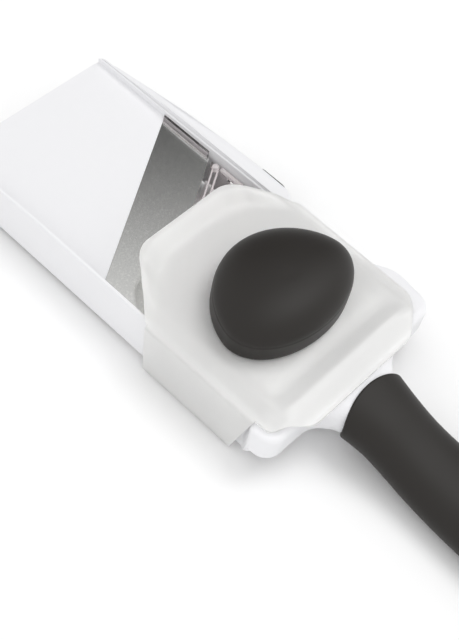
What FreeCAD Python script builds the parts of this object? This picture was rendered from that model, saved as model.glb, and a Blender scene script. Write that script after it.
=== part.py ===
import FreeCAD, Part
import math
import os

os.makedirs("parts", exist_ok=True)
doc = FreeCAD.newDocument("Mandoline")
sizes = doc.addObject("Spreadsheet::Sheet", "Sizes")

# Driving dimensions in millimetres and degrees. X runs from the front lip to the handle, Y towards
# the thickness knob, and Z up from the table. X = 0 is the front end of the rails.
driving = {
    "railTop": 31, "plateTop": 24, "plateThick": 2.6, "wallFoot": 3, "wallThick": 2.4,
    "channelHalf": 46, "lipReach": 5, "deckStart": 199, "deckBack": 190, "railCornerRadius": 5,
    "flareHalf": 57.5, "flareStart": 163, "flareFull": 181, "shoulderHalf": 54.5,
    "shoulderStart": 189.5, "shoulderFull": 194, "shoulderEnd": 201.5, "rearEdge": 207, "waistHalf": 39,
    "tangHalf": 12, "tangThick": 8, "tangEnd": 340,
    "ledgeReach": 54.8, "ledgeThick": 2, "ledgeStart": 95, "ledgeEnd": 113, "ledgeClose": 118,
    "bladeAngle": 30, "bladeLead": 69.3, "bladeRun": 31.6, "bladeThick": 1, "bladeFar": 44.2,
    "bladeNear": 45.6, "bladeBevel": 0.9, "bladeGrind": 3,
    "carrierTuck": 12, "carrierRun": 22, "carrierThick": 3, "stripThick": 1.3, "stripTop": 26.5,
    "carrierHalf": 45.7,
    "rampTop": 22.5, "rampThick": 2.2, "rampHalf": 44.6, "rampGap": 1.6, "rampBack": 189.4,
    "rampBeamRun": 4, "rampBeamDeep": 3, "rampRibDeep": 2.6, "rampRibThick": 1.6, "beadRadius": 1.5,
    "beadStart": 90, "beadRun": 96,
    "hingePlace": 193, "hingeLevel": 17.2, "hingeRadius": 1.5, "hingeLength": 90, "runningGap": 0.05,
    "barrelRadius": 3, "lugWidth": 8, "lugPitch": 30, "earThick": 4, "earPlace": 41,
    "camPlace": 101.6, "camLevel": 13, "camHigh": 5.8, "camLow": 2.8, "camTurn": 150, "camThick": 6,
    "camSide": 34, "camPadGap": 0.45, "camPadRun": 12,
    "shaftRadius": 2.4, "shaftInner": 23.4, "shaftOuter": 58,
    "bushRadius": 4, "bushFlangeRadius": 6, "bushInner": 44.9, "bushOuter": 49.6,
    "bracketWide": 27.2, "bracketFoot": 4.5, "bracketThick": 2, "bracketReach": 20, "bracketEarWide": 9.2,
    "bracketEarThick": 3, "bracketEarTop": 16.4, "bracketTabTall": 9.5, "bracketTabWide": 7,
    "clipRadius": 4, "clipThick": 0.8,
    "turnDiscRadius": 10.2, "turnDiscInner": 50.8, "turnDiscThick": 2.2, "turnBarHalf": 10.2,
    "turnBarTall": 12.8, "turnOuter": 63.4, "turnSeat": 60.4,
    "screwHeadRadius": 2.6, "screwHeadThick": 1.4, "screwRadius": 1.2,
    "clickThick": 0.4, "clickWide": 4, "clickAnchor": 119, "clickTip": 106.2, "clickRise": 1.4,
    "springRadius": 2.9, "springWire": 0.6, "springTurns": 5, "springPlace": 15,
    "footReach": 9, "footHalf": 42, "footKeyTall": 4, "rearFootRadius": 4.2, "rearFootPlace": 200.8,
    "rearFootSide": 12, "rearBossRadius": 4.2, "crossWallHalf": 38, "wingFoot": 15, "wingInner": 46.4,
    "wingBack": 199.2, "rearWallInner": 17, "rearPegRadius": 2, "rearPegTall": 6,
    "gripStart": 211.7, "gripArc": 40, "gripEnd": 372, "hangPlace": 354,
    "hangRadius": 5, "hangRingThick": 1.5,
    "holderFront": 98, "holderFrontHalf": 31, "holderRear": 210, "holderRearHalf": 33,
    "holderShoulder": 196, "holderHalf": 50.6, "holderCheek": 126, "holderGap": 0.3, "shellThick": 2,
    "hoodTall": 3.2, "hoodSlope": 40, "hoodFront": 101, "hoodRear": 204, "hoodHalf": 41,
    "browTop": 39.6, "browBack": 112, "browHalf": 24, "skirtOuter": 52.6, "skirtInner": 50.4, "skirtFront": 126, "skirtRear": 190.5, "skirtFoot": 1.5,
    "skirtRearLow": 184, "skirtFrontLow": 128.5, "lipInner": 47.4, "lipTop": 2.7,
    "runnerThick": 1.5, "runnerInner": 43.9, "runnerFoot": 27.6, "runnerStart": 130, "runnerEnd": 188,
    "prongPitch": 12.7, "prongStart": 147.6, "prongRows": 4, "prongColumns": 6, "prongBossWide": 4.4,
    "prongBossFoot": 29, "prongTip": 25.6, "prongRadius": 0.9, "prongTipTall": 2.4,
    "prongPlateTop": 34.2, "prongPlateThick": 2, "prongPlateMargin": 4.5,
    "knobFront": 129.2, "knobRear": 184.2, "knobMiddle": 161, "knobHalf": 36.6, "knobFoot": 37.6,
    "knobBand": 47.4, "knobTop": 59.8,
    "coreInset": 6, "coreTall": 8, "coreStemRadius": 12, "knobScrewPitch": 20,
}
for row, (alias, value) in enumerate(driving.items(), start=1):
    sizes.set("A%d" % row, alias)
    sizes.set("B%d" % row, str(value))
    sizes.setAlias("B%d" % row, alias)
doc.recompute()


def value(alias):
    return float(sizes.get(alias))


def named(words):
    """Turn words such as 'railTop - plateTop' into an expression on the sheet."""
    return " ".join("Sizes." + word if word in driving else word for word in str(words).split())


def bind(item, **fields):
    for field, words in fields.items():
        item.setExpression(field, named(words))


def settle(item, place):
    for axis, words in zip("xyz", place):
        item.setExpression("Placement.Base." + axis, named(words))


def block(name, place, size):
    item = doc.addObject("Part::Box", name)
    bind(item, Length=size[0], Width=size[1], Height=size[2])
    settle(item, place)
    return item


turned = {"X": FreeCAD.Rotation(FreeCAD.Vector(0, 1, 0), 90),
          "Y": FreeCAD.Rotation(FreeCAD.Vector(1, 0, 0), -90),
          "Z": FreeCAD.Rotation()}


def rod(name, along, place, radius, length):
    item = doc.addObject("Part::Cylinder", name)
    item.Placement = FreeCAD.Placement(FreeCAD.Vector(), turned[along])
    bind(item, Radius=radius, Height=length)
    settle(item, place)
    return item


def joined(name, pieces):
    item = doc.addObject("Part::MultiFuse", name)
    item.Shapes = pieces
    return item


def trimmed(name, base, tools):
    item = doc.addObject("Part::Cut", name)
    item.Base = base
    item.Tool = tools[0] if len(tools) == 1 else joined(name + "Tools", tools)
    return item


def rounded(corners):
    """Lines and tangent arcs through corners of (x, y, radius)."""
    count = len(corners)
    ends = []
    for index in range(count):
        before, here, after = (FreeCAD.Vector(*corners[(index + step) % count][:2], 0) for step in (-1, 0, 1))
        arriving = (before - here).normalize()
        leaving = (after - here).normalize()
        half = arriving.getAngle(leaving) / 2
        radius = corners[index][2]
        back = radius / math.tan(half)
        middle = (arriving + leaving).normalize() * (radius / math.sin(half) - radius)
        ends.append((here + arriving * back, here + middle, here + leaving * back, radius))
    edges = []
    for index, (start, middle, end, radius) in enumerate(ends):
        if radius > 0:
            edges.append(Part.Arc(start, middle, end))
        following = ends[(index + 1) % count][0]
        if end.distanceToPoint(following) > 0.001:
            edges.append(Part.LineSegment(end, following))
    return edges


def newBody(name):
    return doc.addObject("PartDesign::Body", name)


def plane(body, role):
    return next(item for item in body.Origin.OriginFeatures if item.Role == role)


def layer(body, name, edges, level, height, cut=False, taper=0):
    """Pad or pocket a plan outline upwards from a level."""
    sketch = body.newObject("Sketcher::SketchObject", name + "Sketch")
    sketch.AttachmentSupport = (plane(body, "XY_Plane"), [""])
    sketch.MapMode = "FlatFace"
    sketch.setExpression("AttachmentOffset.Base.z", named(level))
    sketch.addGeometry(edges, False)
    feature = body.newObject("PartDesign::Pocket" if cut else "PartDesign::Pad", name)
    feature.Profile = sketch
    feature.Reversed = cut
    feature.TaperAngle = taper
    bind(feature, Length=height)
    return feature


def rectangle(x0, x1, y0, y1, radius=0):
    return rounded([(x0, y0, radius), (x1, y0, radius), (x1, y1, radius), (x0, y1, radius)])


nodes = []


def keep(item, label):
    item.Label = label
    nodes.append(item)
    return item


# Blade geometry: the edges slant across the body, forward on the knob side.
slant = math.tan(math.radians(value("bladeAngle")))


def bladeLine(run, side):
    """X of a line parallel to the blade, run behind its front edge, at a given Y."""
    return value("bladeLead") + run - side * slant


def slanted(runFront, runBack, sideNear, sideFar):
    return rounded([(bladeLine(runFront, sideNear), sideNear, 0), (bladeLine(runBack, sideNear), sideNear, 0),
                    (bladeLine(runBack, sideFar), sideFar, 0), (bladeLine(runFront, sideFar), sideFar, 0)])


# Body frame: rails, landing plate, shoulders, neck and tang in one moulding.
channel = value("channelHalf")
wall = value("wallThick")
outerHalf = channel + wall


def frameOutline(inset):
    corner = value("railCornerRadius")
    waist = value("waistHalf") - inset
    rear = value("rearEdge") - inset
    tight, full = max(3 - 2 * inset, 1), max(7 - 2 * inset, 1)
    return rounded([
        (inset - value("lipReach"), inset - outerHalf, corner - inset),
        (value("shoulderStart") + inset, inset - outerHalf, tight),
        (value("shoulderFull") + inset, inset - value("shoulderHalf"), tight),
        (value("shoulderEnd") - inset, inset - value("shoulderHalf"), full),
        (rear, -waist, full), (rear, waist, full),
        (value("shoulderEnd") - inset, value("flareHalf") - inset, full + 2),
        (value("flareFull"), value("flareHalf") - inset, 18),
        (value("flareStart"), outerHalf - inset, 18),
        (inset - value("lipReach"), outerHalf - inset, corner - inset)])


frame = newBody("Frame")
layer(frame, "FrameBlock", frameOutline(0), "wallFoot", "railTop - wallFoot")
layer(frame, "KnobLedge", rounded([
    (0, channel + 1, 0), (value("ledgeClose"), channel + 1, 0), (value("ledgeClose"), outerHalf, 0),
    (value("ledgeEnd"), value("ledgeReach"), 4), (value("ledgeStart"), value("ledgeReach"), 20),
    (0, outerHalf, 0)]), "railTop - ledgeThick", "ledgeThick")
layer(frame, "Channel", rectangle(-2 * value("lipReach"), value("deckStart"), -channel, channel),
      "plateTop", "railTop - plateTop", cut=True)
layer(frame, "Underside", frameOutline(wall), "0", "plateTop - plateThick", cut=True)
layer(frame, "BladeWindow", rounded([
    (bladeLine(0, -channel), -channel, 0), (value("deckBack"), -channel, 0),
    (value("deckBack"), channel, 0), (bladeLine(0, channel), channel, 0)]),
    "plateTop - plateThick - 1", "plateThick + 2", cut=True)
for side, turn in (("Far", 1), ("Near", -1)):
    for name, start, end, inner in (("Wing", "shoulderStart", "wingBack", "wingInner"),
                                    ("Rear", "wingBack", "rearEdge", "rearWallInner")):
        edges = sorted([turn * value(inner), turn * 2 * value("flareHalf")])
        layer(frame, name + "Under" + side, rectangle(value(start), value(end) + 1, *edges),
              "0", "wingFoot", cut=True)
crossHalf = value("crossWallHalf")
layer(frame, "CrossWall", rectangle(value("deckStart") - wall, value("deckStart"), -crossHalf, crossHalf),
      "wallFoot", "plateTop - plateThick - wallFoot")


def ovalLoft(name, sections):
    """Ruled loft through upright ovals of (x, half width, half height, level)."""
    wires = []
    for place, halfWide, halfTall, level in sections:
        oval = Part.Ellipse(FreeCAD.Vector(), halfWide, halfTall).toShape()
        oval.rotate(FreeCAD.Vector(), FreeCAD.Vector(0, 0, 1), 90)
        oval.rotate(FreeCAD.Vector(), FreeCAD.Vector(0, 1, 0), 90)
        oval.translate(FreeCAD.Vector(place, 0, level))
        wires.append(Part.Wire([oval]))
    item = doc.addObject("Part::Feature", name)
    item.Shape = Part.makeLoft(wires, True, True)
    return item


neck = ovalLoft("Neck", [(198, 36, 13.4, 17.4), (207, 28, 11.6, 19), (211, 23, 10.4, 20), (219, 19.6, 9.6, 19.7)])

tangProfile = [(215, 16), (232, 14), (262, 6.8), (value("tangEnd"), 6.8)]
tangLine = [FreeCAD.Vector(x, -value("tangHalf"), z) for x, z in tangProfile]
tangBack = [point + FreeCAD.Vector(0, 0, value("tangThick")) for point in reversed(tangLine)]
tang = doc.addObject("Part::Feature", "Tang")
tang.Shape = Part.Face(Part.makePolygon(tangLine + tangBack + tangLine[:1])).extrude(
    FreeCAD.Vector(0, 2 * value("tangHalf"), 0))

ears = [block("Ear%s" % side, ("deckBack + 0.4", place, "hingeLevel - 4"),
              ("wallThick + 5", "earThick", "plateTop - hingeLevel + 3"))
        for side, place in (("Far", "earPlace"), ("Near", "0 - earPlace - earThick"))]
bosses = [rod("RearBoss%s" % side, "Z", ("rearFootPlace", place, "wallFoot"), "rearBossRadius", "plateTop - wallFoot")
          for side, place in (("Far", "rearFootSide"), ("Near", "0 - rearFootSide"))]
frameSolid = joined("FrameSolid", [frame, neck, tang] + ears + bosses)
frameHoles = [
    rod("BushHole", "Y", ("camPlace", "channelHalf - 1", "camLevel"), "bushRadius", "wallThick + 2"),
    rod("HingeHole", "Y", ("hingePlace", "0 - hingeLength / 2", "hingeLevel"), "hingeRadius", "hingeLength"),
    rod("ClickHole", "Y", ("clickAnchor - 3", "channelHalf", "camLevel"), "screwRadius", "wallThick + 1"),
] + [rod("PegHole%s" % side, "Z", ("rearFootPlace", place, "wallFoot - 1"), "rearPegRadius", "rearPegTall + 1")
     for side, place in (("Far", "rearFootSide"), ("Near", "0 - rearFootSide"))]
bladeScrewPlaces = [(-6, -30), (-6, 0), (-6, 30)]
for index, (run, side) in enumerate(bladeScrewPlaces):
    frameHoles.append(rod("CarrierHole%d" % index, "Z", (bladeLine(run, side), side, "plateTop - plateThick - 1"),
                          "screwRadius", "plateThick + 0.4"))
bracketScrewPlaces = [("bracketWide / 2 - bracketTabWide / 2"), ("bracketTabWide / 2 - bracketWide / 2")]
for index, offset in enumerate(bracketScrewPlaces):
    frameHoles.append(rod("BracketHole%d" % index, "Y", ("camPlace + " + offset, "channelHalf - 1", "bracketFoot + 6"),
                          "screwRadius", "wallThick + 0.6"))
keep(trimmed("FrameCut", frameSolid, frameHoles), "body_frame")

# Blade: a flat parallelogram with its rear edge ground underneath.
blade = newBody("BladeBody")
layer(blade, "BladePad", slanted(0.1, value("bladeRun"), -value("bladeNear"), value("bladeFar")),
      "plateTop - bladeThick", "bladeThick")
bevelTool = doc.addObject("Part::Feature", "BladeBevel")
bladeFoot = value("plateTop") - value("bladeThick")
bevelNear = -value("bladeNear") - 1
bevelLong = value("bladeFar") - bevelNear + 1
edgeX = bladeLine(value("bladeRun"), bevelNear)
bevelCorner = [FreeCAD.Vector(edgeX + 1, bevelNear, bladeFoot - 1),
               FreeCAD.Vector(edgeX - value("bladeGrind"), bevelNear, bladeFoot - 1),
               FreeCAD.Vector(edgeX - value("bladeGrind"), bevelNear, bladeFoot),
               FreeCAD.Vector(edgeX + 1, bevelNear, bladeFoot + value("bladeBevel"))]
bevelTool.Shape = Part.Face(Part.makePolygon(bevelCorner + bevelCorner[:1])).extrude(
    FreeCAD.Vector(-slant * bevelLong, bevelLong, 0))
keep(trimmed("BladeCut", blade, [bevelTool]), "blade")

# Blade carrier: a clear bed screwed up under the landing plate, with a strip along the far rail.
carrier = newBody("Carrier")
carrierHalf = value("carrierHalf")
layer(carrier, "CarrierPlate", slanted(-value("carrierTuck"), value("carrierRun"), -carrierHalf, carrierHalf),
      "plateTop - plateThick - carrierThick", "carrierThick")
layer(carrier, "CarrierPad", slanted(0.1, value("carrierRun"), -carrierHalf, carrierHalf),
      "plateTop - plateThick", "plateThick - bladeThick")
stripInner = carrierHalf - value("stripThick")
layer(carrier, "CarrierStrip", slanted(0.1, value("bladeRun") - 1, stripInner, carrierHalf),
      "plateTop - plateThick", "stripTop - plateTop + plateThick")
carrierHoles = [rod("CarrierScrewHole%d" % index, "Z",
                    (bladeLine(run, side), side, "plateTop - plateThick - carrierThick - 1"),
                    "screwRadius", "carrierThick + 2") for index, (run, side) in enumerate(bladeScrewPlaces)]
keep(trimmed("CarrierCut", carrier, carrierHoles), "blade_carrier")


def screw(name, along, place, head, shank):
    """A pan-head screw; place is the head's outer face and the shank runs along the positive axis."""
    step = {"X": 0, "Y": 1, "Z": 2}[along]
    seat = list(place)
    seat[step] = "%s + %s" % (place[step], head)
    return joined(name, [rod(name + "Head", along, place, "screwHeadRadius", head),
                         rod(name + "Shank", along, seat, "screwRadius", shank)])


def group(name, pieces, label):
    item = doc.addObject("Part::Compound", name)
    item.Links = pieces
    return keep(item, label)


group("BladeScrewSet", [screw("BladeScrew%d" % index, "Z",
      (bladeLine(run, side), side, "plateTop - plateThick - carrierThick - screwHeadThick"),
      "screwHeadThick", "carrierThick + 2") for index, (run, side) in enumerate(bladeScrewPlaces)], "blade_screws")

# Ramp: clear plate with a front beam beside the blade's edge, ribs, side beads and hinge lugs.
ramp = newBody("Ramp")
rampHalf = value("rampHalf")
rampFront = value("bladeRun") + value("rampGap")
layer(ramp, "RampPlate", rounded([
    (bladeLine(rampFront, -rampHalf), -rampHalf, 0), (value("rampBack"), -rampHalf, 0),
    (value("rampBack"), rampHalf, 0), (bladeLine(rampFront, rampHalf), rampHalf, 0)]),
    "rampTop - rampThick", "rampThick")
layer(ramp, "RampBeam", slanted(rampFront, rampFront + value("rampBeamRun"), -rampHalf + 1, rampHalf - 1),
      "rampTop - rampThick - rampBeamDeep", "rampBeamDeep")
ribThick = value("rampRibThick")
for index, side in enumerate((-40, -18, 6)):
    start = bladeLine(rampFront + 2, side)
    layer(ramp, "RampRib%d" % index, rectangle(start, value("rampBack") - 3, side, side + ribThick),
          "rampTop - rampThick - rampRibDeep", "rampRibDeep + 0.1")
layer(ramp, "CamPad", rectangle(value("camPlace") - 6, value("camPlace") + value("camPadRun") - 6,
                                value("camSide") - 1, value("camSide") + value("camThick") + 1),
      "camLevel + camHigh + camPadGap", "rampTop - rampThick - camLevel - camHigh - camPadGap + 0.1")
beads = [rod("BeadFar", "X", ("beadStart", "rampHalf - beadRadius", "rampTop"), "beadRadius", "beadRun"),
         rod("BeadNear", "X", ("beadStart + 50", "beadRadius - rampHalf", "rampTop"), "beadRadius", "beadRun - 50")]
lugs = []
for index, side in enumerate((-1, 0, 1)):
    centre = "lugPitch * %d - lugWidth / 2" % side
    lugs.append(block("Lug%d" % index, ("hingePlace - 8", centre, "hingeLevel - barrelRadius"),
                      ("8", "lugWidth", "rampTop - rampThick - hingeLevel + barrelRadius + 0.1")))
    lugs.append(rod("Barrel%d" % index, "Y", ("hingePlace", centre, "hingeLevel"), "barrelRadius", "lugWidth"))
lugTrim = block("LugTrim", ("rampBack", "0 - rampHalf", "rampTop - rampThick"), ("20", "rampHalf * 2", "10"))
rampBore = rod("RampBore", "Y", ("hingePlace", "0 - rampHalf", "hingeLevel"), "hingeRadius + runningGap", "rampHalf * 2")
keep(trimmed("RampCut", joined("RampSolid", [ramp] + beads + lugs), [lugTrim, rampBore]), "ramp")

keep(rod("HingePin", "Y", ("hingePlace", "0 - hingeLength / 2", "hingeLevel"), "hingeRadius", "hingeLength"),
     "ramp_hinge_pin")

# The spring's closed coils are one ring with a round ridge for each turn, and a leg at each end.
wire, coilRadius = value("springWire"), value("springRadius")
ridge = 2 * wire
coilEdges = [Part.LineSegment(FreeCAD.Vector(coilRadius - wire, 0, 0), FreeCAD.Vector(coilRadius, 0, 0))]
for index in range(int(value("springTurns"))):
    coilEdges.append(Part.Arc(FreeCAD.Vector(coilRadius, index * ridge, 0),
                              FreeCAD.Vector(coilRadius + wire, (index + 0.5) * ridge, 0),
                              FreeCAD.Vector(coilRadius, (index + 1) * ridge, 0)))
coilLong = value("springTurns") * ridge
coilEdges.append(Part.LineSegment(FreeCAD.Vector(coilRadius, coilLong, 0), FreeCAD.Vector(coilRadius - wire, coilLong, 0)))
coilEdges.append(Part.LineSegment(FreeCAD.Vector(coilRadius - wire, coilLong, 0), FreeCAD.Vector(coilRadius - wire, 0, 0)))
ring = Part.Face(Part.Wire([edge.toShape() for edge in coilEdges])).revolve(
    FreeCAD.Vector(), FreeCAD.Vector(0, 1, 0), 360)
legDeck = Part.makeCylinder(wire, 4, FreeCAD.Vector(coilRadius, wire, 0))
legRamp = Part.makeCylinder(wire, 12, FreeCAD.Vector(-12, coilLong - wire, -coilRadius), FreeCAD.Vector(1, 0, 0))
spring = doc.addObject("Part::Feature", "Spring")
spring.Shape = ring.fuse([legDeck, legRamp])
settle(spring, ("hingePlace", "springPlace", "hingeLevel"))
keep(spring, "ramp_spring")

# Thickness setting: a knob turns a short shaft whose spiral cam carries the ramp.
keep(trimmed("ShaftCut", rod("Shaft", "Y", ("camPlace", "shaftInner", "camLevel"), "shaftRadius", "shaftOuter - shaftInner"),
             [rod("ShaftThread", "Y", ("camPlace", "shaftOuter - 8", "camLevel"), "screwRadius", "9")]), "cam_shaft")

cam = doc.addObject("Part::Feature", "Cam")
highest, lowest = value("camHigh"), value("camLow")
camTurn = math.radians(value("camTurn"))
spiral = []
for step in range(25):
    turn = camTurn * step / 24
    reach = highest - (highest - lowest) * step / 24
    spiral.append(FreeCAD.Vector(-reach * math.sin(turn), 0, reach * math.cos(turn)))
lead = FreeCAD.Vector(highest * math.sin(0.35), 0, highest * math.cos(0.35))
spiralCurve = Part.BSplineCurve()
spiralCurve.interpolate(spiral)
leadArc = Part.Arc(lead, FreeCAD.Vector(highest * math.sin(0.17), 0, highest * math.cos(0.17)), spiral[0])
returnArc = Part.Arc(spiral[-1], FreeCAD.Vector(lowest * 0.9, 0, -lowest * 0.9), lead)
camWire = Part.Wire([leadArc.toShape(), spiralCurve.toShape(), returnArc.toShape()])
camSolid = Part.Face(camWire).extrude(FreeCAD.Vector(0, value("camThick"), 0))
camSolid = camSolid.fuse(Part.makeCylinder(lowest, value("camThick"), FreeCAD.Vector(), FreeCAD.Vector(0, 1, 0)))
cam.Shape = camSolid.cut(Part.makeCylinder(value("shaftRadius"), value("camThick"), FreeCAD.Vector(), FreeCAD.Vector(0, 1, 0)))
settle(cam, ("camPlace", "camSide", "camLevel"))
keep(cam, "ramp_cam")

bushSolid = joined("BushSolid", [
    rod("BushTube", "Y", ("camPlace", "bushInner", "camLevel"), "bushRadius", "bushOuter - bushInner"),
    rod("BushFlange", "Y", ("camPlace", "bushInner", "camLevel"), "bushFlangeRadius", "channelHalf - bushInner")])
keep(trimmed("BushCut", bushSolid, [rod("BushBore", "Y", ("camPlace", "bushInner - 1", "camLevel"),
                                        "shaftRadius + runningGap", "bushOuter - bushInner + 2")]), "shaft_bush")

bracketSolid = joined("BracketSolid", [
    block("BracketBase", ("camPlace - bracketWide / 2", "channelHalf - bracketReach", "bracketFoot"),
          ("bracketWide", "bracketReach", "bracketThick")),
    block("BracketEar", ("camPlace - bracketEarWide / 2", "channelHalf - bracketReach", "bracketFoot"),
          ("bracketEarWide", "bracketEarThick", "bracketEarTop - bracketFoot")),
    block("BracketTabRear", ("camPlace + bracketWide / 2 - bracketTabWide", "channelHalf - bracketThick", "bracketFoot"),
          ("bracketTabWide", "bracketThick", "bracketTabTall")),
    block("BracketTabFront", ("camPlace - bracketWide / 2", "channelHalf - bracketThick", "bracketFoot"),
          ("bracketTabWide", "bracketThick", "bracketTabTall"))])
bracketHoles = [rod("BracketBore", "Y", ("camPlace", "channelHalf - bracketReach - 1", "camLevel"),
                    "shaftRadius + runningGap", "bracketEarThick + 2")]
bracketScrews = []
for index, offset in enumerate(bracketScrewPlaces):
    here = "camPlace + " + offset
    bracketHoles.append(rod("BracketScrewHole%d" % index, "Y", (here, "channelHalf - bracketThick - 1", "bracketFoot + 6"),
                            "screwRadius", "bracketThick + 2"))
    bracketScrews.append(screw("BracketScrew%d" % index, "Y",
                               (here, "channelHalf - bracketThick - screwHeadThick", "bracketFoot + 6"),
                               "screwHeadThick", "bracketThick + 1.6"))
keep(trimmed("BracketCut", bracketSolid, bracketHoles), "cam_bracket")
group("BracketScrewSet", bracketScrews, "bracket_screws")

keep(trimmed("ClipCut", rod("Clip", "Y", ("camPlace", "shaftInner + 1", "camLevel"), "clipRadius", "clipThick"),
             [rod("ClipBore", "Y", ("camPlace", "shaftInner", "camLevel"), "shaftRadius", "3")]), "shaft_clip")

turnKnob = newBody("TurnKnob")
barHalf, barTall = value("turnBarHalf"), value("turnBarTall")
layer(turnKnob, "TurnBar", rectangle(-barHalf, barHalf, -barTall / 2, barTall / 2, barTall / 2 - 1.5),
      "turnDiscInner", "turnOuter - turnDiscInner")
layer(turnKnob, "TurnDisc", [Part.Circle(FreeCAD.Vector(), FreeCAD.Vector(0, 0, 1), value("turnDiscRadius"))],
      "turnDiscInner", "turnDiscThick")
layer(turnKnob, "TurnSocket", [Part.Circle(FreeCAD.Vector(), FreeCAD.Vector(0, 0, 1), value("shaftRadius"))],
      "turnDiscInner - 1", "shaftOuter - turnDiscInner + 1", cut=True)
layer(turnKnob, "TurnPass", [Part.Circle(FreeCAD.Vector(), FreeCAD.Vector(0, 0, 1), value("screwRadius"))],
      "shaftOuter - 1", "turnOuter", cut=True)
layer(turnKnob, "TurnSeat", [Part.Circle(FreeCAD.Vector(), FreeCAD.Vector(0, 0, 1), value("screwHeadRadius") + 0.2)],
      "turnSeat", "turnOuter", cut=True)
turnKnob.Placement = FreeCAD.Placement(FreeCAD.Vector(), turned["Y"])
settle(turnKnob, ("camPlace", "0", "camLevel"))
keep(turnKnob, "thickness_knob")

knobScrew = joined("KnobScrewSolid", [
    rod("TurnScrewHead", "Y", ("camPlace", "turnSeat", "camLevel"), "screwHeadRadius", "screwHeadThick"),
    rod("TurnScrewShank", "Y", ("camPlace", "shaftOuter - 8", "camLevel"), "screwRadius", "turnSeat - shaftOuter + 8")])
keep(knobScrew, "thickness_knob_screw")

click = doc.addObject("Part::Feature", "Click")
anchor, tip, rise, leaf = (value(word) for word in ("clickAnchor", "clickTip", "clickRise", "clickThick"))
clickLine = [(anchor, 0), (anchor - 6, 0), (tip + 3, rise), (tip, rise - 0.5)]
clickNear = [FreeCAD.Vector(x, y, 0) for x, y in clickLine]
clickFar = [point + FreeCAD.Vector(0, leaf, 0) for point in reversed(clickNear)]
clickSolid = Part.Face(Part.makePolygon(clickNear + clickFar + clickNear[:1])).extrude(
    FreeCAD.Vector(0, 0, value("clickWide")))
click.Shape = clickSolid.cut(Part.makeCylinder(value("screwRadius"), 4, FreeCAD.Vector(anchor - 3, -1, value("clickWide") / 2),
                                               FreeCAD.Vector(0, 1, 0)))
settle(click, ("0", "channelHalf + wallThick", "camLevel - clickWide / 2"))
keep(click, "click_spring")
keep(joined("ClickScrewSolid", [
    rod("ClickScrewHead", "Y", ("clickAnchor - 3", "channelHalf + wallThick + clickThick", "camLevel"), "screwHeadRadius", "1"),
    rod("ClickScrewShank", "Y", ("clickAnchor - 3", "channelHalf + 0.2", "camLevel"), "screwRadius",
        "wallThick + clickThick - 0.2")]), "click_spring_screw")

# Rubber feet.
foot = newBody("FrontFoot")
layer(foot, "FootSole", rectangle(-value("lipReach") + 0.6, value("footReach"), -value("footHalf"), value("footHalf"), 3),
      "0", "wallFoot")
layer(foot, "FootKey", rectangle(wall - value("lipReach"), value("footReach") - 1, 1 - value("footHalf"),
                                 value("footHalf") - 1, 2), "wallFoot", "footKeyTall")
keep(foot, "front_foot")
rearFeet = []
for side, place in (("Far", "rearFootSide"), ("Near", "0 - rearFootSide")):
    rearFeet.append(joined("RearFoot" + side, [
        rod("RearSole" + side, "Z", ("rearFootPlace", place, "0"), "rearFootRadius", "wallFoot"),
        rod("RearPeg" + side, "Z", ("rearFootPlace", place, "wallFoot"), "rearPegRadius", "rearPegTall")]))
group("RearFootSet", rearFeet, "rear_feet")

# Handle grip: soft sections lofted over the neck and tang, its front edge an arc.
gripLoft = ovalLoft("GripLoft", [
    (206, 26, 11.6, 20.4), (212, 22.3, 11, 20.2), (218, 20.9, 10.8, 19.8), (230, 18.4, 10.7, 17.6),
    (242, 18.4, 10.5, 14.2), (256, 19.2, 10.4, 11), (275, 20.3, 10.4, 10.4), (300, 21.4, 10.4, 10.4),
    (325, 21.8, 10.4, 10.4), (348, 20, 10.2, 10.4), (360, 16.5, 9.4, 10.4), (367, 12.5, 8, 10.4),
    (value("gripEnd"), 7, 5, 10.4)])
arcRadius = value("gripArc")
frontTool = doc.addObject("Part::Feature", "GripFront")
frontTool.Shape = Part.makeBox(arcRadius * 2, 120, 60, FreeCAD.Vector(value("gripStart") - arcRadius, -60, -10)).cut(
    Part.makeCylinder(arcRadius, 80, FreeCAD.Vector(value("gripStart") + arcRadius, 0, -20)))
hangHole = rod("HangHole", "Z", ("hangPlace", "0", "0 - 5"), "hangRadius + hangRingThick", "50")
keep(trimmed("GripCut", gripLoft, [frontTool, neck, tang, hangHole]), "handle_grip")
keep(trimmed("RingCut", rod("Ring", "Z", ("hangPlace", "0", "1.6"), "hangRadius + hangRingThick", "17.6"),
             [rod("RingBore", "Z", ("hangPlace", "0", "0"), "hangRadius", "30")]), "hang_ring")

# Food holder: frosted shell with hood, skirt, lip and runners.
cheek, shoulder = value("holderCheek"), value("holderShoulder")
frontHalf, rearHalf, holderHalf = value("holderFrontHalf"), value("holderRearHalf"), value("holderHalf")
skirtOuter = value("skirtOuter")
shell = newBody("Shell")
layer(shell, "ShellBase", rounded([
    (value("holderFront"), -frontHalf, 10), (cheek, -skirtOuter, 3), (shoulder, -skirtOuter, 6),
    (value("holderRear"), -rearHalf, 10), (value("holderRear"), rearHalf, 10), (shoulder, holderHalf, 6),
    (cheek, holderHalf, 3), (value("holderFront"), frontHalf, 10)]), "railTop + holderGap", "shellThick")
hoodHalf = value("hoodHalf")


def hoodOutline(inset):
    return rounded([
        (value("hoodFront") + inset, inset - frontHalf + 3, 9), (cheek + 4, inset - hoodHalf, 12),
        (value("hoodRear") - inset, inset - hoodHalf, 9), (value("hoodRear") - inset, hoodHalf - inset, 9),
        (cheek + 4, hoodHalf - inset, 12), (value("hoodFront") + inset, frontHalf - 3 - inset, 9)])


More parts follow.
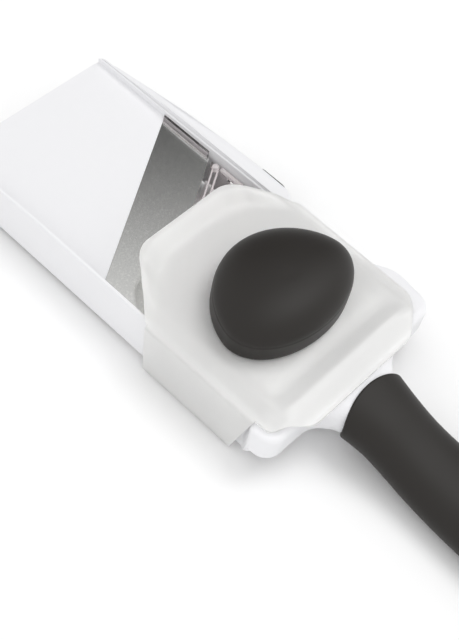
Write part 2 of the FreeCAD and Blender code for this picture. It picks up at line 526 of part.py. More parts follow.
layer(shell, "Hood", hoodOutline(0), "railTop + holderGap + shellThick - 0.01", "hoodTall", taper=-value("hoodSlope"))
layer(shell, "HoodHollow", hoodOutline(value("shellThick") + 0.6), "railTop", "hoodTall + holderGap - 0.01",
      cut=True, taper=-value("hoodSlope") + 4)
for label, side in (("Far", 1), ("Near", -1)):
    inner = value("runnerInner")
    edgeSides = sorted((side * inner, side * (inner + value("runnerThick"))))
    layer(shell, "Runner" + label, rectangle(value("runnerStart"), value("runnerEnd"), *edgeSides),
          "runnerFoot", "railTop + holderGap - runnerFoot + 0.1")
skirt = doc.addObject("Part::Feature", "Skirt")
shellTop = value("railTop") + value("holderGap") + value("shellThick")
skirtPoints = [(value("skirtFront"), shellTop - 0.5), (value("skirtFrontLow"), value("skirtFoot")),
               (value("skirtRearLow"), value("skirtFoot")), (value("skirtRear") - 2, shellTop - 0.5)]
skirtLine = [FreeCAD.Vector(x, -skirtOuter, z) for x, z in skirtPoints]
skirt.Shape = Part.Face(Part.makePolygon(skirtLine + skirtLine[:1])).extrude(
    FreeCAD.Vector(0, skirtOuter - value("skirtInner"), 0))
lip = block("SkirtLip", ("skirtFrontLow", "0 - skirtOuter", "skirtFoot"),
            ("skirtRearLow - skirtFrontLow", "skirtOuter - lipInner", "lipTop - skirtFoot"))
shellTopLevel = "railTop + holderGap + shellThick + hoodTall"
screwPattern = [(161 + value("knobScrewPitch") * 0.5 * math.cos(math.radians(angle)),
                 value("knobScrewPitch") * 0.5 * math.sin(math.radians(angle))) for angle in (0, 120, 240)]
shellHoles = [rod("ShellHole%d" % index, "Z", (x, y, "railTop"), "screwRadius", "20")
              for index, (x, y) in enumerate(screwPattern)]
brow = doc.addObject("Part::Feature", "Brow")
browFoot = value("railTop") + value("holderGap") + 1
browPoints = [(value("holderFront") + 0.6, browFoot), (value("holderFront") + 0.6, value("browTop")),
              (value("holderFront") + 2.4, value("browTop")), (value("browBack"), browFoot + 3.6),
              (value("browBack"), browFoot)]
browLine = [FreeCAD.Vector(x, -value("browHalf"), z) for x, z in browPoints]
brow.Shape = Part.Face(Part.makePolygon(browLine + browLine[:1])).extrude(FreeCAD.Vector(0, 2 * value("browHalf"), 0))
keep(trimmed("ShellCut", joined("ShellSolid", [shell, skirt, lip, brow]), shellHoles), "holder_shell")

# Prong plate with square bosses, and a steel pin in each boss.
pitch = value("prongPitch")
rows, columns = int(value("prongRows")), int(value("prongColumns"))
prongPlaces = [(value("prongStart") + row * pitch, (column - (columns - 1) / 2) * pitch)
               for row in range(rows) for column in range(columns)]
margin = value("prongPlateMargin")
prongPlate = newBody("ProngPlate")
lastRow = value("prongStart") + (rows - 1) * pitch
plateHalf = (columns - 1) / 2 * pitch + margin
plateEdges = rectangle(value("prongStart") - margin, lastRow + margin, -plateHalf, plateHalf, 3)
layer(prongPlate, "ProngBase", plateEdges, "prongPlateTop - prongPlateThick", "prongPlateThick")
bossHalf = value("prongBossWide") / 2
for index, (x, y) in enumerate(prongPlaces):
    layer(prongPlate, "Boss%d" % index, rectangle(x - bossHalf, x + bossHalf, y - bossHalf, y + bossHalf),
          "prongBossFoot", "prongPlateTop - prongPlateThick - prongBossFoot + 0.1")
pinHoles = []
pins = []
for index, (x, y) in enumerate(prongPlaces):
    pinHoles.append(rod("PinHole%d" % index, "Z", (x, y, "prongBossFoot - 1"), "prongRadius", "6"))
    point = doc.addObject("Part::Cone", "PinPoint%d" % index)
    bind(point, Radius1="prongRadius * 0.2", Radius2="prongRadius", Height="prongTipTall")
    settle(point, (x, y, "prongTip"))
    pins.append(joined("Pin%d" % index, [point, rod("PinShank%d" % index, "Z", (x, y, "prongTip + prongTipTall"),
                                                    "prongRadius", "prongBossFoot + 5 - prongTip - prongTipTall")]))
plateScrewHoles = [rod("PlateScrewHole%d" % index, "Z", (x, y, "prongBossFoot"), "screwHeadRadius + 0.3", "20")
                   for index, (x, y) in enumerate(screwPattern)]
keep(trimmed("ProngPlateCut", prongPlate, pinHoles + plateScrewHoles), "prong_plate")
group("PinSet", pins, "holder_prongs")

# Holder knob: a hard core under a soft cap.
knobFront, knobRear, knobHalf = value("knobFront"), value("knobRear"), value("knobHalf")
knobMiddle = value("knobMiddle")


def knobWire(shrink, level):
    """Egg-shaped outline, narrow in front and blunt behind."""
    points = []
    for step in range(16):
        turn = 2 * math.pi * step / 16
        ahead = math.cos(turn) < 0
        reach = (knobMiddle - knobFront) if ahead else (knobRear - knobMiddle)
        along = math.copysign(abs(math.cos(turn)) ** (1.2 if ahead else 1), math.cos(turn))
        points.append(FreeCAD.Vector(knobMiddle + reach * shrink * along, knobHalf * shrink * math.sin(turn), level))
    curve = Part.BSplineCurve()
    curve.interpolate(points, True)
    return Part.Wire([curve.toShape()])


knobFoot, knobBand, knobTop = value("knobFoot"), value("knobBand"), value("knobTop")
bandLoft = [(0.97, knobFoot), (1, knobFoot + 1.5), (1, knobBand)]
domeLoft = [(math.cos(lift) ** 0.84, knobBand + (knobTop - knobBand) * math.sin(lift))
            for lift in (math.radians(angle) for angle in (14, 28, 42, 56, 70, 80))]
knobLoft = doc.addObject("Part::Feature", "KnobLoft")
knobLoft.Shape = Part.makeLoft([knobWire(*ring) for ring in bandLoft + domeLoft], True, True)
coreScale = 1 - 2 * value("coreInset") / (knobRear - knobFront)
core = doc.addObject("Part::Feature", "Core")
core.Shape = Part.Face(knobWire(coreScale, knobFoot)).extrude(FreeCAD.Vector(0, 0, value("coreTall")))
keep(trimmed("KnobGripCut", knobLoft, [core]), "knob_grip")
stemLevel = "railTop + holderGap + shellThick + hoodTall - 0.01"
coreHoles = [rod("CoreHole%d" % index, "Z", (x, y, "railTop"), "screwRadius", "knobFoot - railTop + 5")
             for index, (x, y) in enumerate(screwPattern)]
stem = rod("Stem", "Z", (161, "0", stemLevel), "coreStemRadius", "knobFoot - railTop - holderGap - shellThick - hoodTall + 0.01")
keep(trimmed("CoreCut", joined("CoreSolid", [core, stem]), coreHoles), "knob_core")
screwTop = "railTop + hoodTall + holderGap - 0.01 - screwHeadThick"
group("KnobScrewSet", [screw("KnobScrew%d" % index, "Z", (x, y, screwTop), "screwHeadThick", "8")
                       for index, (x, y) in enumerate(screwPattern)], "knob_screws")

doc.recompute()

failed = [item.Name for item in doc.Objects if "Invalid" in item.State or "Error" in item.State]
if failed:
    raise SystemExit("failed features: " + ", ".join(failed))
for item in nodes:
    shape = item.Shape
    if shape.isNull() or not shape.isValid():
        raise SystemExit("bad shape: " + item.Label)
    print("%-22s solids %2d  volume %9.1f  box %s" % (
        item.Label, len(shape.Solids), shape.Volume,
        " ".join("%.1f" % bound for bound in (shape.BoundBox.XMin, shape.BoundBox.XMax, shape.BoundBox.YMin,
                                              shape.BoundBox.YMax, shape.BoundBox.ZMin, shape.BoundBox.ZMax))))
    shape.exportStep("parts/%s.step" % item.Label)
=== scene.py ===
import math

import bmesh
import bpy
from mathutils import Matrix, Vector


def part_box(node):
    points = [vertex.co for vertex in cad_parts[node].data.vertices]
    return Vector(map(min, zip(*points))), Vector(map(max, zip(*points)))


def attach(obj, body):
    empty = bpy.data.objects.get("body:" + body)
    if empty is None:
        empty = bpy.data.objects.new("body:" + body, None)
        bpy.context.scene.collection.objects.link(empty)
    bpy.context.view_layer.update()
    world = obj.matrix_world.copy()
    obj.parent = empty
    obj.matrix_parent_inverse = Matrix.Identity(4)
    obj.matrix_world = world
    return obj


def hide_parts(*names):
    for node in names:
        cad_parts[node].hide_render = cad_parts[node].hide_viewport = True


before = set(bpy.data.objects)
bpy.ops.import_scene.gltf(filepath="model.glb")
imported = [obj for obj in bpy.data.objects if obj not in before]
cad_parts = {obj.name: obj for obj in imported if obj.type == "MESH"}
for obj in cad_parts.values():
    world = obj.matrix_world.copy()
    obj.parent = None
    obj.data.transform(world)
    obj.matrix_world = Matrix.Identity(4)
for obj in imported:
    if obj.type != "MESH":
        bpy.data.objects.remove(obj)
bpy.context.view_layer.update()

scene = bpy.context.scene
mm = 0.001
print("frame loaded:", len(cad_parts), "CAD pieces")


# measuring the frame, in millimetres
def lowHigh(node):
    low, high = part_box(node)
    return low / mm, high / mm


def smoothStep(start, end, value):
    part = min(max((value - start) / (end - start), 0), 1)
    return part * part * (3 - 2 * part)


def blendTable(rows, place):
    # smooth in-between values of a table whose first column is the place
    if place <= rows[0][0]:
        return rows[0][1:]
    if place >= rows[-1][0]:
        return rows[-1][1:]
    index = next(number for number in range(len(rows) - 1) if rows[number + 1][0] >= place)
    before, after = rows[index], rows[index + 1]
    span = after[0] - before[0]
    part = (place - before[0]) / span
    values = []
    for column in range(1, len(before)):
        def slope(near):
            if near == 0 or near == len(rows) - 1:
                return 0
            low, high = rows[near - 1], rows[near + 1]
            return (high[column] - low[column]) / (high[0] - low[0])
        cube, square = part ** 3, part ** 2
        values.append((2 * cube - 3 * square + 1) * before[column]
                      + (cube - 2 * square + part) * span * slope(index)
                      + (3 * square - 2 * cube) * after[column] + (cube - square) * span * slope(index + 1))
    return values


# mesh helpers: all points are given in millimetres
def newPiece(name, points, faces):
    mesh = bpy.data.meshes.new(name)
    mesh.from_pydata([Vector(point) * mm for point in points], [], faces)
    piece = bpy.data.objects.new(name, mesh)
    scene.collection.objects.link(piece)
    return piece


def tidyMesh(piece, merge=0.002, flip=True):
    work = bmesh.new()
    work.from_mesh(piece.data)
    bmesh.ops.remove_doubles(work, verts=work.verts, dist=merge * mm)
    bmesh.ops.dissolve_degenerate(work, edges=work.edges, dist=merge * mm)
    if flip:
        bmesh.ops.recalc_face_normals(work, faces=work.faces)
    work.to_mesh(piece.data)
    work.free()
    return piece


def applied(piece):
    # puts the result of the modifiers in the mesh
    graph = bpy.context.evaluated_depsgraph_get()
    mesh = bpy.data.meshes.new_from_object(piece.evaluated_get(graph), depsgraph=graph)
    piece.modifiers.clear()
    piece.data = mesh
    return piece


def combine(piece, tools, operation="DIFFERENCE"):
    for tool in tools:
        step = piece.modifiers.new("combine", "BOOLEAN")
        step.object, step.operation, step.solver = tool, operation, "MANIFOLD"
    applied(piece)
    for tool in tools:
        bpy.data.objects.remove(tool)
    return tidyMesh(piece, 0.004, False)


def rounded(piece, width, segments=2, angle=35):
    step = piece.modifiers.new("rounded", "BEVEL")
    step.width, step.segments, step.limit_method = width * mm, segments, "ANGLE"
    step.angle_limit = math.radians(angle)
    return applied(piece)


def shaded(piece, angle=34, weighted=True):
    piece.data.shade_smooth()
    piece.data.set_sharp_from_angle(angle=math.radians(angle))
    if weighted:
        step = piece.modifiers.new("flats", "WEIGHTED_NORMAL")
        step.keep_sharp, step.weight = True, 60
        applied(piece)
    return piece


def stack(name, rings):
    # joins closed rings of equal count by quads, with a cap at each end
    count = len(rings[0])
    points = [point for ring in rings for point in ring]
    faces = []
    for level in range(len(rings) - 1):
        for index in range(count):
            after = (index + 1) % count
            faces.append((level * count + index, level * count + after,
                          (level + 1) * count + after, (level + 1) * count + index))
    faces.append(tuple(reversed(range(count))))
    faces.append(tuple((len(rings) - 1) * count + index for index in range(count)))
    return tidyMesh(newPiece(name, points, faces))


def cornered(corners, steps=8):
    # a closed outline through corners of (x, y, radius), its corners as arcs
    line = []
    for index, (x, y, radius) in enumerate(corners):
        before = Vector(corners[index - 1][:2])
        here = Vector((x, y))
        after = Vector(corners[(index + 1) % len(corners)][:2])
        if not radius:
            line.append(here)
            continue
        arriving, leaving = (before - here).normalized(), (after - here).normalized()
        half = arriving.angle(leaving) / 2
        middle = here + (arriving + leaving).normalized() * radius / math.sin(half)
        start = here + arriving * radius / math.tan(half) - middle
        turn = start.angle_signed(here + leaving * radius / math.tan(half) - middle)
        for step in range(steps + 1):
            angle = -turn * step / steps
            line.append(middle + Vector((start.x * math.cos(angle) - start.y * math.sin(angle),
                                         start.x * math.sin(angle) + start.y * math.cos(angle))))
    return line


def rectangle(lowX, highX, lowY, highY, radius):
    corners = ((lowX, lowY), (highX, lowY), (highX, highY), (lowX, highY))
    return cornered([(*corner, radius) for corner in corners], 3)


def inset(line, depth):
    # moves a closed outline inwards; a negative depth moves it outwards
    count = len(line)
    area = sum(line[i - 1].x * line[i].y - line[i].x * line[i - 1].y for i in range(count))
    side = 1 if area > 0 else -1
    moved = []
    for index in range(count):
        before = (line[index] - line[index - 1]).normalized()
        after = (line[(index + 1) % count] - line[index]).normalized()
        first, second = Vector((-before.y, before.x)), Vector((-after.y, after.x))
        normal = first + second
        reach = 2 / max(normal.length_squared, 0.4)
        moved.append(line[index] + normal * side * depth * reach)
    return moved


def slab(name, line, low, high, edge=0.3, steps=3):
    # a plate of a plan outline with its edges rounded top and bottom
    rings = []
    for level, up in ((low + edge, -1), (high - edge, 1)):
        turns = range(steps, -1, -1) if up < 0 else range(steps + 1)
        for step in turns:
            angle = math.pi / 2 * step / steps
            ring = inset(line, edge * (1 - math.cos(angle)))
            rings.append([(p.x, p.y, level + up * edge * math.sin(angle)) for p in ring])
    return stack(name, rings)


def lathe(name, profile, centre, along="Z", sides=40):
    # turns (radius, distance) about an axis through the centre
    rings = []
    for radius, far in profile:
        ring = []
        for index in range(sides):
            angle = 2 * math.pi * index / sides
            a, b = radius * math.cos(angle), radius * math.sin(angle)
            ring.append({"X": (far, a, b), "Y": (b, far, a), "Z": (a, b, far)}[along])
        rings.append([Vector(point) + Vector(centre) for point in ring])
    return stack(name, rings)


def joinPieces(name, pieces):
    # one object from several closed pieces that only touch or overlap
    work = bmesh.new()
    for piece in pieces:
        work.from_mesh(piece.data)
    mesh = bpy.data.meshes.new(name)
    work.to_mesh(mesh)
    work.free()
    for piece in pieces:
        bpy.data.objects.remove(piece)
    whole = bpy.data.objects.new(name, mesh)
    scene.collection.objects.link(whole)
    return whole


def finished(piece, body, material, slot, *nodes):
    piece.data.materials.clear()
    piece.data.materials.append(material)
    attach(piece, body)
    if nodes:
        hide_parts(*nodes)
    print("piece", piece.name, len(piece.data.polygons), "faces")
    return piece


# camera, at a three-quarter view from above the near side of the handle
viewpoint = {
    "place": (0.3162, -0.2974, 0.5005), "across": (0.7205, 0.6785, 0.1429),
    "up": (-0.6282, 0.5515, 0.5488), "lens": 73.1, "sensor": 36,
}


def placeCamera():
    data = bpy.data.cameras.new("camera")
    data.lens, data.sensor_width, data.sensor_fit = viewpoint["lens"], viewpoint["sensor"], "AUTO"
    data.clip_start, data.clip_end = 0.01, 20
    camera = bpy.data.objects.new("camera", data)
    across, up = Vector(viewpoint["across"]).normalized(), Vector(viewpoint["up"])
    back = across.cross(up).normalized()
    up = back.cross(across)
    camera.matrix_world = Matrix.Translation(viewpoint["place"]) @ Matrix((across, up,
                                                                           back)).transposed().to_4x4()
    scene.collection.objects.link(camera)
    scene.camera = camera


placeCamera()


# shader building
def tree(material):
    material.use_nodes = True
    material.node_tree.nodes.clear()
    return material.node_tree


def put(nodes, kind, **values):
    node = nodes.new(kind)
    for key, value in values.items():
        if key in node.inputs:
            node.inputs[key].default_value = value
        else:
            setattr(node, key, value)
    return node


def makeGroup(name, inputs, outputs):
    group = bpy.data.node_groups.new(name, "ShaderNodeTree")
    for label, kind, value in inputs:
        socket = group.interface.new_socket(label, in_out="INPUT", socket_type=kind)
        if value is not None:
            socket.default_value = value
    for label, kind in outputs:
        group.interface.new_socket(label, in_out="OUTPUT", socket_type=kind)
    return group, group.nodes.new("NodeGroupInput"), group.nodes.new("NodeGroupOutput")


def times(group, first, second, clamp=False):
    node = put(group.nodes, "ShaderNodeMath", operation="MULTIPLY", use_clamp=clamp)
    group.links.new(first, node.inputs[0])
    group.links.new(second, node.inputs[1])
    return node.outputs[0]


def noiseAt(group, place, given, scale, **settings):
    noise = put(group.nodes, "ShaderNodeTexNoise", **settings)
    group.links.new(place.outputs["Object"], noise.inputs["Vector"])
    group.links.new(given.outputs[scale], noise.inputs["Scale"])
    return noise.outputs["Fac"]


def mixed(group, factor, given, other):
    # the given colour with another one mixed in
    mix = put(group.nodes, "ShaderNodeMix", data_type="RGBA")
    group.links.new(factor, mix.inputs["Factor"])
    group.links.new(given.outputs["Colour"], mix.inputs[6])
    group.links.new(given.outputs[other], mix.inputs[7])
    return mix.outputs[2]


def varied(group, source, given):
    # roughness that follows a noise around its given value
    vary = put(group.nodes, "ShaderNodeMath", operation="SUBTRACT")
    group.links.new(source, vary.inputs[0])
    vary.inputs[1].default_value = 0.5
    rough = put(group.nodes, "ShaderNodeMath", operation="MULTIPLY_ADD", use_clamp=True)
    group.links.new(vary.outputs[0], rough.inputs[0])
    group.links.new(given.outputs["Roughness Change"], rough.inputs[1])
    group.links.new(given.outputs["Roughness"], rough.inputs[2])
    return rough.outputs[0]


def grainGroup():
    # mould grain: fine height, slow colour change and roughness that varies over the surface
    group, given, result = makeGroup("mouldGrain", [
        ("Colour", "NodeSocketColor", (0.8, 0.8, 0.8, 1)), ("Shade", "NodeSocketColor", (0.7, 0.7, 0.7, 1)),
        ("Fine Scale", "NodeSocketFloat", 2500), ("Slow Scale", "NodeSocketFloat", 14),
        ("Mottle", "NodeSocketFloat", 0.3), ("Roughness", "NodeSocketFloat", 0.4),
        ("Roughness Change", "NodeSocketFloat", 0.1)],
        [("Colour", "NodeSocketColor"), ("Roughness", "NodeSocketFloat"), ("Height", "NodeSocketFloat")])
    link = group.links.new
    place = group.nodes.new("ShaderNodeTexCoord")
    fine = noiseAt(group, place, given, "Fine Scale", Detail=3.0, Roughness=0.6)
    slow = noiseAt(group, place, given, "Slow Scale", Detail=4.0, Roughness=0.55)
    amount = times(group, slow, given.outputs["Mottle"])
    link(mixed(group, amount, given, "Shade"), result.inputs["Colour"])
    link(varied(group, slow, given), result.inputs["Roughness"])
    link(fine, result.inputs["Height"])
    return group


def edgeGroup():
    # edge wear: lightens or darkens the convex edges, broken up by noise
    group, given, result = makeGroup("edgeWear", [
        ("Colour", "NodeSocketColor", (0.8, 0.8, 0.8, 1)), ("Worn", "NodeSocketColor", (0.9, 0.9, 0.9, 1)),
        ("Amount", "NodeSocketFloat", 0.3), ("Break Scale", "NodeSocketFloat", 220)],
        [("Colour", "NodeSocketColor"), ("Mask", "NodeSocketFloat")])
    link = group.links.new
    place = group.nodes.new("ShaderNodeTexCoord")
    shape = group.nodes.new("ShaderNodeNewGeometry")
    edge = put(group.nodes, "ShaderNodeMapRange")
    edge.inputs["From Min"].default_value, edge.inputs["From Max"].default_value = 0.51, 0.58
    link(shape.outputs["Pointiness"], edge.inputs["Value"])
    broken = times(group, edge.outputs[0], noiseAt(group, place, given, "Break Scale", Detail=3.0))
    amount = times(group, broken, given.outputs["Amount"], True)
    link(mixed(group, amount, given, "Worn"), result.inputs["Colour"])
    link(amount, result.inputs["Mask"])
    return group


def brushGroup():
    # ground metal: scratches stretched along one axis, with bright grinding flecks
    group, given, result = makeGroup("groundMetal", [
        ("Colour", "NodeSocketColor", (0.5, 0.5, 0.5, 1)), ("Fleck", "NodeSocketColor", (0.8, 0.8, 0.8, 1)),
        ("Turn", "NodeSocketVector", (0, 0, 0)), ("Stretch", "NodeSocketVector", (60, 2200, 2200)),
        ("Fleck Scale", "NodeSocketFloat", 900), ("Fleck Amount", "NodeSocketFloat", 0.3),
        ("Roughness", "NodeSocketFloat", 0.3), ("Roughness Change", "NodeSocketFloat", 0.15)],
        [("Colour", "NodeSocketColor"), ("Roughness", "NodeSocketFloat"), ("Height", "NodeSocketFloat")])
    nodes, link = group.nodes, group.links.new
    place = nodes.new("ShaderNodeTexCoord")
    turned = put(nodes, "ShaderNodeMapping")
    link(place.outputs["Object"], turned.inputs["Vector"])
    link(given.outputs["Turn"], turned.inputs["Rotation"])
    long = put(nodes, "ShaderNodeVectorMath", operation="MULTIPLY")
    link(turned.outputs[0], long.inputs[0])
    link(given.outputs["Stretch"], long.inputs[1])
    lines = put(nodes, "ShaderNodeTexNoise", Scale=1.0, Detail=4.0, Roughness=0.65)
    link(long.outputs[0], lines.inputs["Vector"])
    fleck = noiseAt(group, place, given, "Fleck Scale", Detail=2.0, Roughness=0.7)
    bright = put(nodes, "ShaderNodeMapRange")
    bright.inputs["From Min"].default_value, bright.inputs["From Max"].default_value = 0.5, 0.72
    link(fleck, bright.inputs["Value"])
    amount = times(group, bright.outputs[0], given.outputs["Fleck Amount"])
    link(mixed(group, amount, given, "Fleck"), result.inputs["Colour"])
    link(varied(group, lines.outputs["Fac"], given), result.inputs["Roughness"])
    link(lines.outputs["Fac"], result.inputs["Height"])
    return group


groups = {"grain": grainGroup(), "edge": edgeGroup(), "brush": brushGroup()}


def setSockets(node, sockets):
    for label, value in sockets.items():
        node.inputs[label.replace("_", " ")].default_value = value
    return node


def useGroup(nodes, key, **values):
    node = nodes.new("ShaderNodeGroup")
    node.node_tree = groups[key]
    return setSockets(node, values)


def colour(red, green, blue):
    return (red, green, blue, 1)


def grained(nodes, look):
    return useGroup(nodes, "grain", Colour=colour(*look["colour"]), Shade=colour(*look["shade"]),
                    Fine_Scale=look["fine"], Slow_Scale=look["slow"], Mottle=look["mottle"],
                    Roughness=look["rough"], Roughness_Change=look["roughChange"])


def joined(link, source, surface, bump):
    link(source.outputs["Roughness"], surface.inputs["Roughness"])
    link(source.outputs["Height"], bump.inputs["Height"])
    link(bump.outputs[0], surface.inputs["Normal"])


def plastic(name, look, **sockets):
    # moulded plastic or rubber: grain, worn edges and a fine bump
    material = bpy.data.materials.new(name)
    nodes = tree(material).nodes
    link = material.node_tree.links.new
    grain = grained(nodes, look)
    edge = useGroup(nodes, "edge", Worn=colour(*look["worn"]), Amount=look["wear"])
    surface = put(nodes, "ShaderNodeBsdfPrincipled")
    bump = put(nodes, "ShaderNodeBump", Strength=look["bump"], Distance=look["deep"] * mm)
    output = nodes.new("ShaderNodeOutputMaterial")
    link(grain.outputs["Colour"], edge.inputs["Colour"])
    link(edge.outputs["Colour"], surface.inputs["Base Color"])
    joined(link, grain, surface, bump)
    setSockets(surface, sockets)
    link(surface.outputs[0], output.inputs[0])
    return material


def metal(name, look):
    material = bpy.data.materials.new(name)
    nodes = tree(material).nodes
    link = material.node_tree.links.new
    brush = useGroup(nodes, "brush", Colour=colour(*look["colour"]), Fleck=colour(*look["fleck"]),
                     Turn=look["turn"], Stretch=look["stretch"], Fleck_Scale=look["fleckScale"],
                     Fleck_Amount=look["fleckAmount"], Roughness=look["rough"],
                     Roughness_Change=look["roughChange"])
    surface = put(nodes, "ShaderNodeBsdfPrincipled", Metallic=1.0)
    bump = put(nodes, "ShaderNodeBump", Strength=look["bump"], Distance=0.02 * mm)
    output = nodes.new("ShaderNodeOutputMaterial")
    link(brush.outputs["Colour"], surface.inputs["Base Color"])
    joined(link, brush, surface, bump)
    link(surface.outputs[0], output.inputs[0])
    return material


def clearPlastic(name, look, **sockets):
    # see-through plastic; lamps shine through it, so that it doesn't shade what is behind
    material = bpy.data.materials.new(name)
    nodes = tree(material).nodes
    link = material.node_tree.links.new
    grain = grained(nodes, look)
    surface = put(nodes, "ShaderNodeBsdfPrincipled", IOR=look["ior"])
    surface.inputs["Transmission Weight"].default_value = look["through"]
    setSockets(surface, sockets)
    bump = put(nodes, "ShaderNodeBump", Strength=look["bump"], Distance=look["deep"] * mm)
    link(grain.outputs["Colour"], surface.inputs["Base Color"])
    joined(link, grain, surface, bump)
    path = nodes.new("ShaderNodeLightPath")
    opening = put(nodes, "ShaderNodeBsdfTransparent", Color=colour(*look["shadow"]))
    mix = nodes.new("ShaderNodeMixShader")
    output = nodes.new("ShaderNodeOutputMaterial")
    link(path.outputs["Is Shadow Ray"], mix.inputs[0])
    link(surface.outputs[0], mix.inputs[1])
    link(opening.outputs[0], mix.inputs[2])
    link(mix.outputs[0], output.inputs[0])
    return material


plainMould = {"fine": 2600, "slow": 16, "mottle": 0.5, "rough": 0.36, "roughChange": 0.12,
              "bump": 0.12, "deep": 0.02, "wear": 0.35}
looks = {
    "white": dict(plainMould, colour=(0.835, 0.835, 0.85), shade=(0.815, 0.815, 0.835),
                  worn=(0.88, 0.88, 0.89)),
    "black": dict(plainMould, colour=(0.015, 0.0128, 0.011), shade=(0.021, 0.018, 0.0155),
                  worn=(0.05, 0.045, 0.04),
                  rough=0.5, bump=0.25, deep=0.03, fine=3200, wear=0.25),
    "grey": dict(plainMould, colour=(0.16, 0.16, 0.165), shade=(0.12, 0.12, 0.125), worn=(0.25, 0.25, 0.25),
                 rough=0.7, bump=0.5, deep=0.05),
    "nylon": dict(plainMould, colour=(0.72, 0.70, 0.64), shade=(0.66, 0.63, 0.56), worn=(0.8, 0.78, 0.74),
                  rough=0.42),
    "frost": dict(plainMould, colour=(0.955, 0.955, 0.945), shade=(0.93, 0.925, 0.92),
                  worn=(0.98, 0.98, 0.98),
                  rough=0.36, ior=1.49, through=0.5, shadow=(0.62, 0.62, 0.62), bump=0.2, deep=0.03),
    "clear": dict(plainMould, colour=(0.965, 0.935, 0.94), shade=(0.95, 0.91, 0.92), worn=(1, 1, 1),
                  rough=0.04, roughChange=0.03, ior=1.49, through=1.0, shadow=(0.93, 0.9, 0.905), bump=0.02,
                  deep=0.01),
}
plainMetal = {"turn": (0, 0, 0), "stretch": (60, 2400, 2400), "fleckScale": 1500, "fleckAmount": 0.3,
              "rough": 0.3, "roughChange": 0.15, "bump": 0.2}
bladeLean = math.radians(30)
metalLooks = {
    "blade": dict(plainMetal, colour=(0.70, 0.70, 0.685), fleck=(0.92, 0.92, 0.89), turn=(0, 0, -bladeLean),
                  stretch=(2400, 160, 160), fleckScale=1100, fleckAmount=0.5, rough=0.17, roughChange=0.08,
                  bump=0.15),
    "steel": dict(plainMetal, colour=(0.62, 0.62, 0.61), fleck=(0.82, 0.82, 0.8)),
    "spring": dict(plainMetal, colour=(0.48, 0.48, 0.48), fleck=(0.7, 0.7, 0.7), rough=0.24),
}
softTouch = {"Sheen_Weight": 0.05, "Sheen_Roughness": 0.5, "Specular_IOR_Level": 0.3}
materials = {
    "white": plastic("whiteMoulding", looks["white"], Specular_IOR_Level=0.45),
    "black": plastic("softBlackGrip", looks["black"], **softTouch),
    "hardBlack": plastic("hardBlackMoulding", dict(looks["black"], rough=0.34, bump=0.15)),
    "grey": plastic("rubberFoot", looks["grey"]),
    "nylon": plastic("naturalNylon", looks["nylon"]),
    "frost": clearPlastic("frostedHolder", looks["frost"]),
    "clear": clearPlastic("clearCarrier", looks["clear"]),
    "clearEdge": clearPlastic("clearTrim", dict(looks["clear"], through=0.6, rough=0.12,
                                                colour=(0.97, 0.93, 0.935))),
    "blade": metal("groundBlade", metalLooks["blade"]),
    "steel": metal("brightSteel", metalLooks["steel"]),
    "spring": metal("springSteel", metalLooks["spring"]),
}
print("materials built:", len(materials))


# body: a white moulding with rails, landing plate, shoulders and neck
bodyShell = {
    "frontX": -5, "halfWidth": 48.4, "corner": 5, "channelHalf": 46, "wall": 2.4, "footLevel": 3,
    "deckX": 199, "windowBackX": 190, "cavityBackX": 196.6, "railRound": 1.1, "shoulderRound": 3.2,
    "neckEndX": 226, "neckHalf": 17.2, "neckFoot": 9.6, "wingFoot": 14, "legHalf": 30, "taperStart": -9,
    "taperEnd": 58, "taper": 0.5, "nearFlareX": 188.2, "nearShoulderX": 192.6, "nearShoulderY": -54.4,
    "nearBackX": 204.8, "nearNeckX": 205.2, "farFlareX": 163.5, "farShoulderX": 180.5,
    "farShoulderY": 57.6, "farBackX": 205.6, "farNeckX": 206.6, "neckRadius": 15.5, "plateThick": 2.6,
    "earFrom": 41, "earTo": 46.5, "earAhead": 3.4, "earBackX": 197,
}
bodyBlend = {
    "shoulderEdge": (186, 196), "neckEdge": (205, 214), "wing": (188.5, 193.5), "neckFoot": (204, 212),
    "wingUnder": (188.5, 193), "neckUnder": (204, 213), "neckTop": (205, 212), "neckSlope": (212, 228),
    "crown": (206, 214),
}
bodyLedge = {
    "corners": [(0, 46.5, 0), (125, 46.5, 0), (124, 48.6, 4), (117.5, 54.7, 6)],
    "reach": [(95, 54.8), (75, 53.9), (50, 52.3), (25, 50.3), (6, 48.8)], "thick": 2, "round": 0.8,
}
floorRibs = [(-32, -30.4), (-0.8, 0.8), (30.4, 32)]
tangSections = [(218, 16.5, 4, 11.5), (232, 14.5, 4, 11.8), (262, 10.8, 4, 12), (338, 10.8, 4, 12)]
railTop = lowHigh("body_frame")[1].z
bladeLow, bladeHigh = lowHigh("blade")
plateTop = bladeHigh.z
bladeSlant = math.tan(bladeLean)
bladeLeadX = bladeLow.x + bladeHigh.y * bladeSlant - 0.1


def bladeX(run, side):
    return bladeLeadX + run - side * bladeSlant


def blend(key, x):
    return smoothStep(*bodyBlend[key], x)


def openSide(corners):
    # an open plan line: the first and last corners are ends without arcs
    line = [Vector(corners[0][:2])]
    for index in range(1, len(corners) - 1):
        before, after = corners[index - 1], corners[index + 1]
        line += cornered([(*before[:2], 0), corners[index], (*after[:2], 0)], 10)[1:-1]
    line.append(Vector(corners[-1][:2]))
    while abs(line[1].x - line[0].x) < 0.01:
        line.pop(0)
    while abs(line[-2].x - line[-1].x) < 0.01:
        line.pop()
    return line


